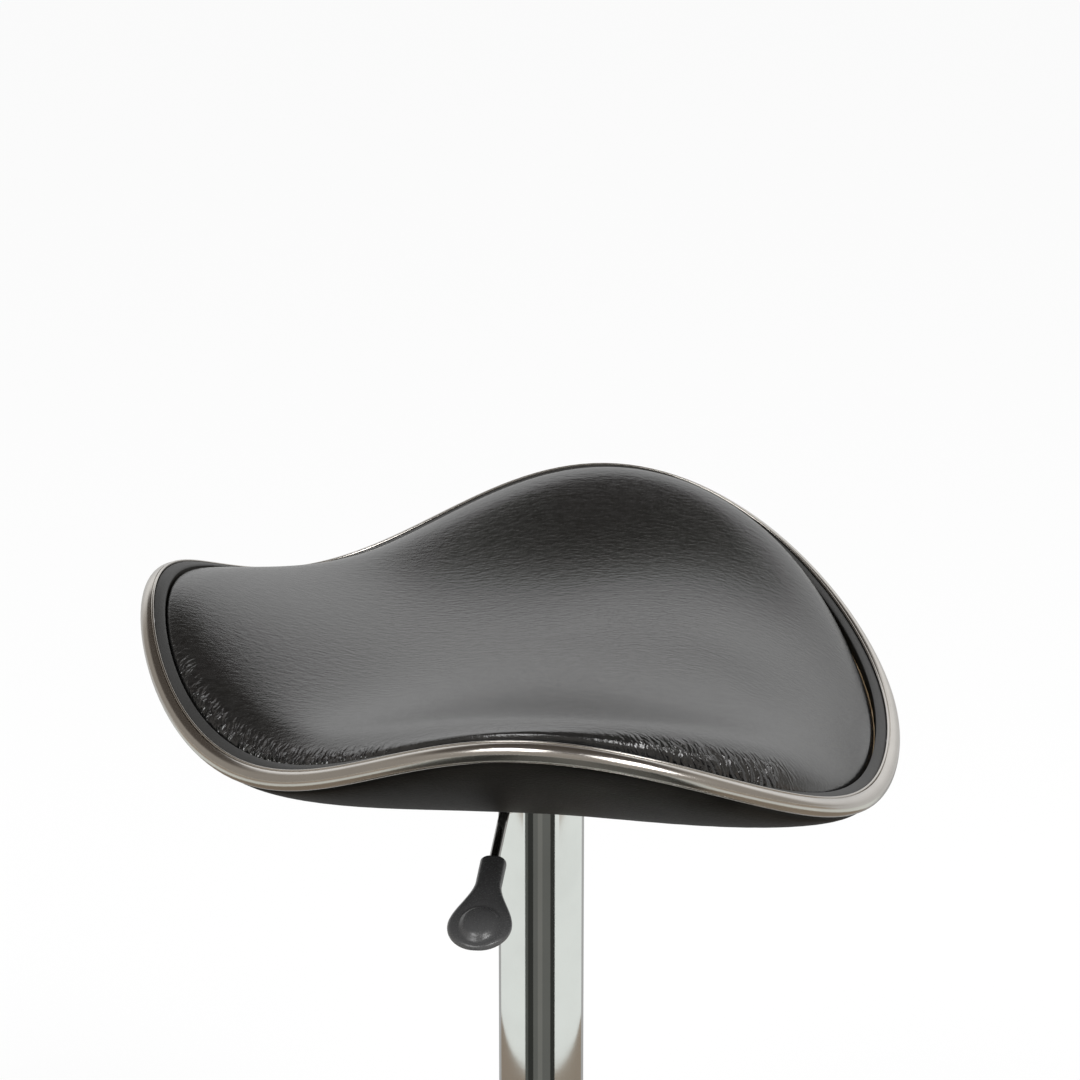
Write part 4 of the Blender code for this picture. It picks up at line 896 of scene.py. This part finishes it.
def cushion_ring(share):
    edge = inset_outline(SEAT_ANGLES, CUSHION_EDGE)
    points = SEAT_CENTRE + share * (edge - SEAT_CENTRE)
    sink = SLACK + (EDGE_SINK - SLACK) * share**SINK_ONSET
    return ring_at(points, saddle_level(points) + crown_rise(SEAT_ANGLES, share) - sink)


def bed_ring(share):
    edge = inset_outline(SEAT_ANGLES, BED_INSET)
    points = SEAT_CENTRE + share * (edge - SEAT_CENTRE)
    dish = BED_DISH * (1.0 - polar(points)[1] ** 4)
    return ring_at(points, saddle_level(points) - dish - CUSHION_DEPTH)


def slack_cushion():
    top_pole = [(*SEAT_CENTRE, RIM_HEIGHT + crown_rise(0.0, 0.0) - SLACK)]
    bed_pole = [(*SEAT_CENTRE, RIM_HEIGHT - BED_DISH - CUSHION_DEPTH)]
    shares = [*MIDDLE_SHARES, *EDGE_SHARES]
    rings = [top_pole] + [cushion_ring(share) for share in shares]
    skin_points = 1 + len(shares) * len(SEAT_ANGLES)
    wall = BAND_WIDTH + BAND_GAP
    rings += [saddle_ring(CUSHION_EDGE, 0.0042)]
    rings += [saddle_ring(wall, drop) for drop in (0.0052, 0.0058, 0.0061)]
    rings += [saddle_ring(BAND_WIDTH + 2.0 * BAND_GAP, 0.0062)]
    rings += [bed_ring(share) for share in BED_SHARES]
    return loft("saddle_cushion", rings + [bed_pole]), skin_points


cushion, skin_points = slack_cushion()
print("slack cushion has", len(cushion.data.vertices), "points,", skin_points, "of them free")

# %% [markdown]
# ## Stuffing
# A cloth simulation under pressure fills the slack form, which rounds the edge and tightens the
# skin as stuffing does; a plain subdivided shape would look moulded. The underside is glued to the
# board. The push is evened over each point's neighbours, as foam would, and capped, so the saddle
# keeps its form.

# %% Stuff it
STUFFING_PRESSURE = 4.0
STUFFING_FRAMES = 20
PUSH_CAP = 0.0025
EVENING_ROUNDS = 160


def apply_modifiers(piece):
    """Bake a piece's modifiers into its mesh."""
    graph = bpy.context.evaluated_depsgraph_get()
    made = bpy.data.meshes.new_from_object(piece.evaluated_get(graph))
    piece.modifiers.clear()
    piece.data = made


def points_of(mesh):
    flat = np.zeros(len(mesh.vertices) * 3)
    mesh.vertices.foreach_get("co", flat)
    return flat.reshape(-1, 3)


def held_in(points):
    """Keep the skin off the band, by drawing in any point that has swollen past it."""
    angle, share = polar(points[:, :2])
    limit = 1.0 - (BAND_WIDTH + BAND_GAP) / outline_radius(angle)
    shrink = np.minimum(1.0, limit / np.maximum(share, 1e-6))
    held = points.copy()
    held[:, :2] = SEAT_CENTRE + shrink[:, None] * (points[:, :2] - SEAT_CENTRE)
    return held


def evened(mesh, push):
    """Spread each point's push over its neighbours, as foam does under the skin."""
    ends = np.zeros(len(mesh.edges) * 2, dtype=int)
    mesh.edges.foreach_get("vertices", ends)
    first, second = ends.reshape(-1, 2).T
    count = np.bincount(ends, minlength=len(push))[:, None]
    for _ in range(EVENING_ROUNDS):
        total = np.zeros_like(push)
        np.add.at(total, first, push[second])
        np.add.at(total, second, push[first])
        push = 0.5 * push + 0.5 * total / count
    return push


def stuff(piece):
    """Fill the slack cushion under pressure, with its underside glued to the board."""
    start = points_of(piece.data)
    glued = piece.vertex_groups.new(name="on_the_board")
    glued.add(list(range(skin_points, len(start))), 1.0, "REPLACE")
    cloth = piece.modifiers.new("stuffing", "CLOTH")
    cloth.settings.use_pressure = True
    cloth.settings.uniform_pressure_force = STUFFING_PRESSURE
    cloth.settings.vertex_group_mass = glued.name
    cloth.settings.effector_weights.gravity = 0.0
    cloth.point_cache.frame_end = STUFFING_FRAMES
    for number in range(1, STUFFING_FRAMES + 1):
        bpy.context.scene.frame_set(number)
    apply_modifiers(piece)
    push = evened(piece.data, points_of(piece.data) - start)
    size = np.linalg.norm(push, axis=1, keepdims=True)
    filled = held_in(start + push * np.minimum(1.0, PUSH_CAP / np.maximum(size, 1e-9)))
    piece.data.vertices.foreach_set("co", filled.ravel())
    piece.data.update()
    bpy.context.scene.frame_set(1)
    print("stuffing moved points by up to", (1000 * size.max()).round(2), "mm before the cap")


stuff(cushion)

# %% [markdown]
# ## Skin
# One round of subdivision takes the last facets out of the sheen. Then each point learns its place
# along the edge and in from it, so that the puckers can run square to an edge that is anything but
# straight. A UV map could hold the same two values, but plain attributes say what they are.

# %% Skin measures and smoothing
EDGE_SAMPLES = 721
cushion.data.shade_smooth()
finer = cushion.modifiers.new("finer", "SUBSURF")
finer.levels = finer.render_levels = 1
apply_modifiers(cushion)


def mark_skin(mesh):
    """Keep on each point how far along the edge it is, and how far in from it."""
    turn_angles = np.linspace(0.0, math.tau, EDGE_SAMPLES)
    steps = np.linalg.norm(np.diff(outline(turn_angles), axis=0), axis=1)
    lengths = np.concatenate([[0.0], np.cumsum(steps)])
    angle, share = polar(points_of(mesh)[:, :2])
    along = mesh.attributes.new("along_edge", "FLOAT", "POINT")
    along.data.foreach_set("value", np.interp(angle % math.tau, turn_angles, lengths))
    inward = mesh.attributes.new("in_from_edge", "FLOAT", "POINT")
    inward.data.foreach_set("value", (1.0 - share) * outline_radius(angle) - CUSHION_EDGE)


mark_skin(cushion.data)
dress(cushion, "seat", "leatherette", leatherette, "seat_cushion")

# %% [markdown]
# ## Column
# The column is drawn steel tube, chromed. It is turned again with fine facets, because chrome shows
# every flat, and its corners get a nose radius, so that they catch a line of light as a real edge
# does. A Bevel modifier would do that too, but the section is at hand and rounding it is one call.

# %% Column
TUBE_RADIUS = 0.0250
TUBE_WALL = 0.0020
TUBE_LEAD_IN = 0.004
TUBE_NOSE = 0.0006
TUBE_SIDES = 160


def ring_section(inner, outer, low, high):
    """The four corners of a plain ring's section."""
    return [(inner, low), (outer, low), (outer, high), (inner, high)]


tube_low, tube_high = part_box("stand_tube")
tube_section = ring_section(TUBE_RADIUS - TUBE_WALL, TUBE_RADIUS, tube_low.z, tube_high.z)
tube_section[0] = (TUBE_RADIUS - TUBE_WALL, tube_low.z + TUBE_LEAD_IN)
column = turn("column_tube", rounded(tube_section, TUBE_NOSE), TUBE_SIDES)
dress(column, "stand", "chrome", chrome, "stand_tube")

# %% [markdown]
# ## Lever
# The release lever is a steel rod, bent at its inner end into a tongue that presses the valve pin.
# A curve object with a round bevel would draw it, but a swept path keeps its ends closed. It is
# drawn flat, with its pivot at the origin, and then tilted into place.

# %% Lever rod
LEVER_TILT = math.radians(15.0)
LEVER_YAW = math.radians(-2.4)
LEVER_PIVOT = Vector((-0.0150, -0.0520, RIM_HEIGHT - 0.0751))
LEVER_TURN = Matrix.Rotation(LEVER_YAW, 4, "Z") @ Matrix.Rotation(LEVER_TILT, 4, "X")
LEVER_PLACE = Matrix.Translation(LEVER_PIVOT) @ LEVER_TURN
ROD_RADIUS = 0.0030
ROD_BEND = 0.0075
ROD_SIDES = 24
BEND_STEPS = 12
TONGUE_LENGTH = 0.0190
ROD_REACH = 0.0520 / math.cos(LEVER_TILT)
ROD_IN_PADDLE = 0.0195
PADDLE_START = 0.0545
PADDLE_LENGTH = 0.0765

rod_path = [Vector((TONGUE_LENGTH, ROD_REACH, 0.0))]
for step in range(BEND_STEPS + 1):
    swing = 0.5 * math.pi * (1.0 + step / BEND_STEPS)
    across = ROD_BEND * (1.0 + math.cos(swing))
    rod_path.append(Vector((across, ROD_REACH + ROD_BEND * (math.sin(swing) - 1.0), 0.0)))
rod_path += [Vector((0.0, 0.0, 0.0)), Vector((0.0, -PADDLE_START - ROD_IN_PADDLE, 0.0))]
rod = sweep("lever_rod_bent", rod_path, ROD_RADIUS, ROD_SIDES)
rod.data.transform(LEVER_PLACE)
dress(rod, "lever", "black_steel", rod_plate, "lever_rod")

# %% [markdown]
# ## Paddle
# The paddle is moulded onto the rod: a straight neck, a flare to a round blade, and a raised oval
# for the thumb with a shallow moat round it. It is lofted from rounded sections, which lets the
# oval rise out of the blade in the same skin. A Boolean of two bodies would leave a hard seam.

# %% Lever paddle
PADDLE_NECK = 0.0074
PADDLE_HALF_WIDTH = 0.0179
NECK_DEPTH = 0.0056
BLADE_DEPTH = 0.0042
PAD_RISE = 0.0034
PAD_LENGTH = 0.0270
PAD_WIDTH = 0.0215
PAD_CENTRE = 0.76
PAD_FULLNESS = 0.55
MOAT_DEPTH = 0.0006
MOAT_CENTRE = 1.12
MOAT_WIDTH = 0.12
NECK_SHARE = 0.26
WIDE_SHARE = 0.74
SECTION_FULLNESS = 0.8
PADDLE_SIDES = 56
PADDLE_STEPS = 54
BLADE_FROM = 0.5
END_SQUARENESS = 12


def paddle_half_width(share):
    """Half width along the paddle: a straight neck, a smooth flare and a rounded end."""
    if share <= NECK_SHARE:
        return PADDLE_NECK
    if share <= WIDE_SHARE:
        flare = (share - NECK_SHARE) / (WIDE_SHARE - NECK_SHARE)
        return PADDLE_NECK + (PADDLE_HALF_WIDTH - PADDLE_NECK) * flare * flare * (3.0 - 2.0 * flare)
    past = (share - WIDE_SHARE) / (1.0 - WIDE_SHARE)
    return PADDLE_HALF_WIDTH * math.sqrt(max(0.0, 1.0 - past * past))


def thumb_pad(along, across):
    """Raised oval on the upper face, with a shallow moat round it."""
    past = along - PAD_CENTRE * PADDLE_LENGTH
    oval = (past / (PAD_LENGTH / 2.0)) ** 2 + (across / (PAD_WIDTH / 2.0)) ** 2
    moat = MOAT_DEPTH * math.exp(-(((math.sqrt(oval) - MOAT_CENTRE) / MOAT_WIDTH) ** 2))
    return PAD_RISE * max(0.0, 1.0 - oval) ** PAD_FULLNESS - moat


def squared(value):
    """A sine or cosine pushed outwards, so that an ellipse gets squarer."""
    return math.copysign(abs(value) ** SECTION_FULLNESS, value)


def paddle_ring(share, shrink=1.0):
    width = shrink * paddle_half_width(share)
    depth = NECK_DEPTH + (BLADE_DEPTH - NECK_DEPTH) * min(1.0, share / BLADE_FROM)
    depth *= shrink * math.sqrt(max(0.02, 1.0 - share**END_SQUARENESS))
    ring = []
    for angle in round_angles(PADDLE_SIDES):
        across = width * squared(math.cos(angle))
        height = depth * squared(math.sin(angle))
        if height > 0.0:
            height += thumb_pad(share * PADDLE_LENGTH, across)
        ring.append((across, -PADDLE_START - share * PADDLE_LENGTH, height))
    return ring


paddle_rings = [[(0.0, -PADDLE_START, 0.0)], paddle_ring(0.0, 0.80)]
paddle_rings += [paddle_ring(0.006, 0.94), paddle_ring(0.016)]
paddle_rings += [paddle_ring(0.03 + 0.93 * step / PADDLE_STEPS) for step in range(PADDLE_STEPS + 1)]
paddle_rings += [paddle_ring(share) for share in (0.972, 0.984, 0.992, 0.997)]
paddle_rings.append([(0.0, -PADDLE_START - PADDLE_LENGTH, 0.0)])
paddle = loft("lever_paddle_grip", paddle_rings)
paddle.data.transform(LEVER_PLACE)
dress(paddle, "lever", "handle", handle_plastic, "lever_paddle")

# %% [markdown]
# ## Base
# The photograph stops above the foot, so the base follows ordinary stools: a spun trumpet of
# chromed sheet, a rubber ring under its edge and a collar where the column comes out. The sheet's
# inner face keeps its distance from the outer one all the way, as spun sheet does.

# %% Base
BASE_RADIUS = 0.2016
BASE_EDGE_HEIGHT = 0.0120
BASE_DOME_RISE = 0.0140
NECK_RADIUS = 0.0310
NECK_HEIGHT = 0.0780
TRUMPET_REACH = 0.0220
COVER_WALL = 0.0016
COVER_STEPS = 60
COVER_CROWDING = 1.7
SKIRT_TOP = 0.0092
SKIRT_TOP_INSIDE = 0.0098
SHOULDER_INSET, SHOULDER_HEIGHT = 0.0004, 0.0109
SLOPE_STEP = 0.0001
FOOT_RING_WIDTH = 0.030
FOOT_GAP = 0.0003
FOOT_NOSE = 0.0008
NECK_NOSE = 0.0028
BASE_SIDES = 180
COLLAR_BORE = 0.0253
COLLAR_SIDES = 128


def trumpet(radius):
    """Height of the spun cover at a radius: a low dome and a flare up to the neck."""
    flare = math.exp((NECK_RADIUS - radius) / TRUMPET_REACH)
    dome = BASE_DOME_RISE * (1.0 - (radius / BASE_RADIUS) ** 2)
    dome_at_neck = BASE_DOME_RISE * (1.0 - (NECK_RADIUS / BASE_RADIUS) ** 2)
    return BASE_EDGE_HEIGHT + dome + (NECK_HEIGHT - BASE_EDGE_HEIGHT - dome_at_neck) * flare


def cover_profile():
    """Both faces of the spun sheet, from the foot up to the neck and down again inside."""
    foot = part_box("base_cover")[0].z
    spread = BASE_RADIUS - COVER_WALL - NECK_RADIUS
    shares = [(1.0 - step / COVER_STEPS) ** COVER_CROWDING for step in range(COVER_STEPS + 1)]
    radii = [NECK_RADIUS + spread * share for share in shares]
    outer = [(BASE_RADIUS, foot), (BASE_RADIUS, SKIRT_TOP)]
    outer += [(BASE_RADIUS - SHOULDER_INSET, SHOULDER_HEIGHT)]
    outer += [(radius, trumpet(radius)) for radius in radii]
    inner = [(NECK_RADIUS - COVER_WALL, NECK_HEIGHT)]
    for radius in reversed(radii[2:-1]):
        climb = trumpet(radius + SLOPE_STEP) - trumpet(radius - SLOPE_STEP)
        slope = climb / (2.0 * SLOPE_STEP)
        lean = math.hypot(slope, 1.0)
        inner.append((radius + COVER_WALL * slope / lean, trumpet(radius) - COVER_WALL / lean))
    inside = BASE_RADIUS - COVER_WALL
    return outer + inner + [(inside, SKIRT_TOP_INSIDE), (inside, foot)]


cover = turn("base_trumpet", cover_profile(), BASE_SIDES)
dress(cover, "stand", "chrome", chrome, "base_cover")

foot_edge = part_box("base_foot_ring")[1].x
foot_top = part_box("base_cover")[0].z - FOOT_GAP
foot_section = ring_section(BASE_RADIUS - FOOT_RING_WIDTH, foot_edge, 0.0, foot_top)
foot_ring = turn("foot_ring_rubber", rounded(foot_section, FOOT_NOSE), BASE_SIDES)
dress(foot_ring, "stand", "rubber", rubber, "base_foot_ring")

ring_low, ring_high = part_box("base_neck_ring")
neck_section = ring_section(COLLAR_BORE, ring_high.x, ring_low.z, ring_high.z)
neck_ring = turn("neck_collar", rounded(neck_section, NECK_NOSE, 6), COLLAR_SIDES)
dress(neck_ring, "stand", "chrome", chrome, "base_neck_ring")

# %% [markdown]
# ## Footrest
# The footrest is out of the picture too. Such stools have a bent tube, flat at the back and round
# in front, clamped to the column by a collar. Half the path is drawn and then mirrored, so both
# sides agree.

# %% Footrest
FOOTREST_TUBE_RADIUS = 0.0110
FOOTREST_HALF_WIDTH = 0.1650
FOOTREST_CORNER = 0.0460
FOOTREST_SIDES = 36
CORNER_STEPS = 16
LOOP_STEPS = 40
COLLAR_RADIUS = 0.0340
COLLAR_GAP = 0.0003
COLLAR_NOSE = 0.002
collar_low, collar_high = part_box("footrest_collar")
FOOTREST_HEIGHT = 0.5 * (collar_low.z + collar_high.z)


def footrest_path():
    half = [Vector((0.0, COLLAR_RADIUS + COLLAR_GAP, FOOTREST_HEIGHT))]
    middle = Vector((FOOTREST_CORNER, FOOTREST_HALF_WIDTH - FOOTREST_CORNER, FOOTREST_HEIGHT))
    for step in range(CORNER_STEPS + 1):
        swing = math.pi * (1.0 - 0.5 * step / CORNER_STEPS)
        half.append(middle + FOOTREST_CORNER * Vector((math.cos(swing), math.sin(swing), 0.0)))
    front = Vector((FOOTREST_CORNER, 0.0, FOOTREST_HEIGHT))
    for step in range(1, LOOP_STEPS + 1):
        swing = 0.5 * math.pi * (1.0 - step / LOOP_STEPS)
        half.append(front + FOOTREST_HALF_WIDTH * Vector((math.cos(swing), math.sin(swing), 0.0)))
    return half + [Vector((point.x, -point.y, point.z)) for point in reversed(half[:-1])]


footrest = sweep("footrest_bar", footrest_path(), FOOTREST_TUBE_RADIUS, FOOTREST_SIDES)
dress(footrest, "stand", "chrome", chrome, "footrest_loop")
collar_section = ring_section(COLLAR_BORE, COLLAR_RADIUS, collar_low.z, collar_high.z)
collar = turn("footrest_clamp", rounded(collar_section, COLLAR_NOSE, 5), COLLAR_SIDES)
dress(collar, "stand", "chrome", chrome, "footrest_collar")
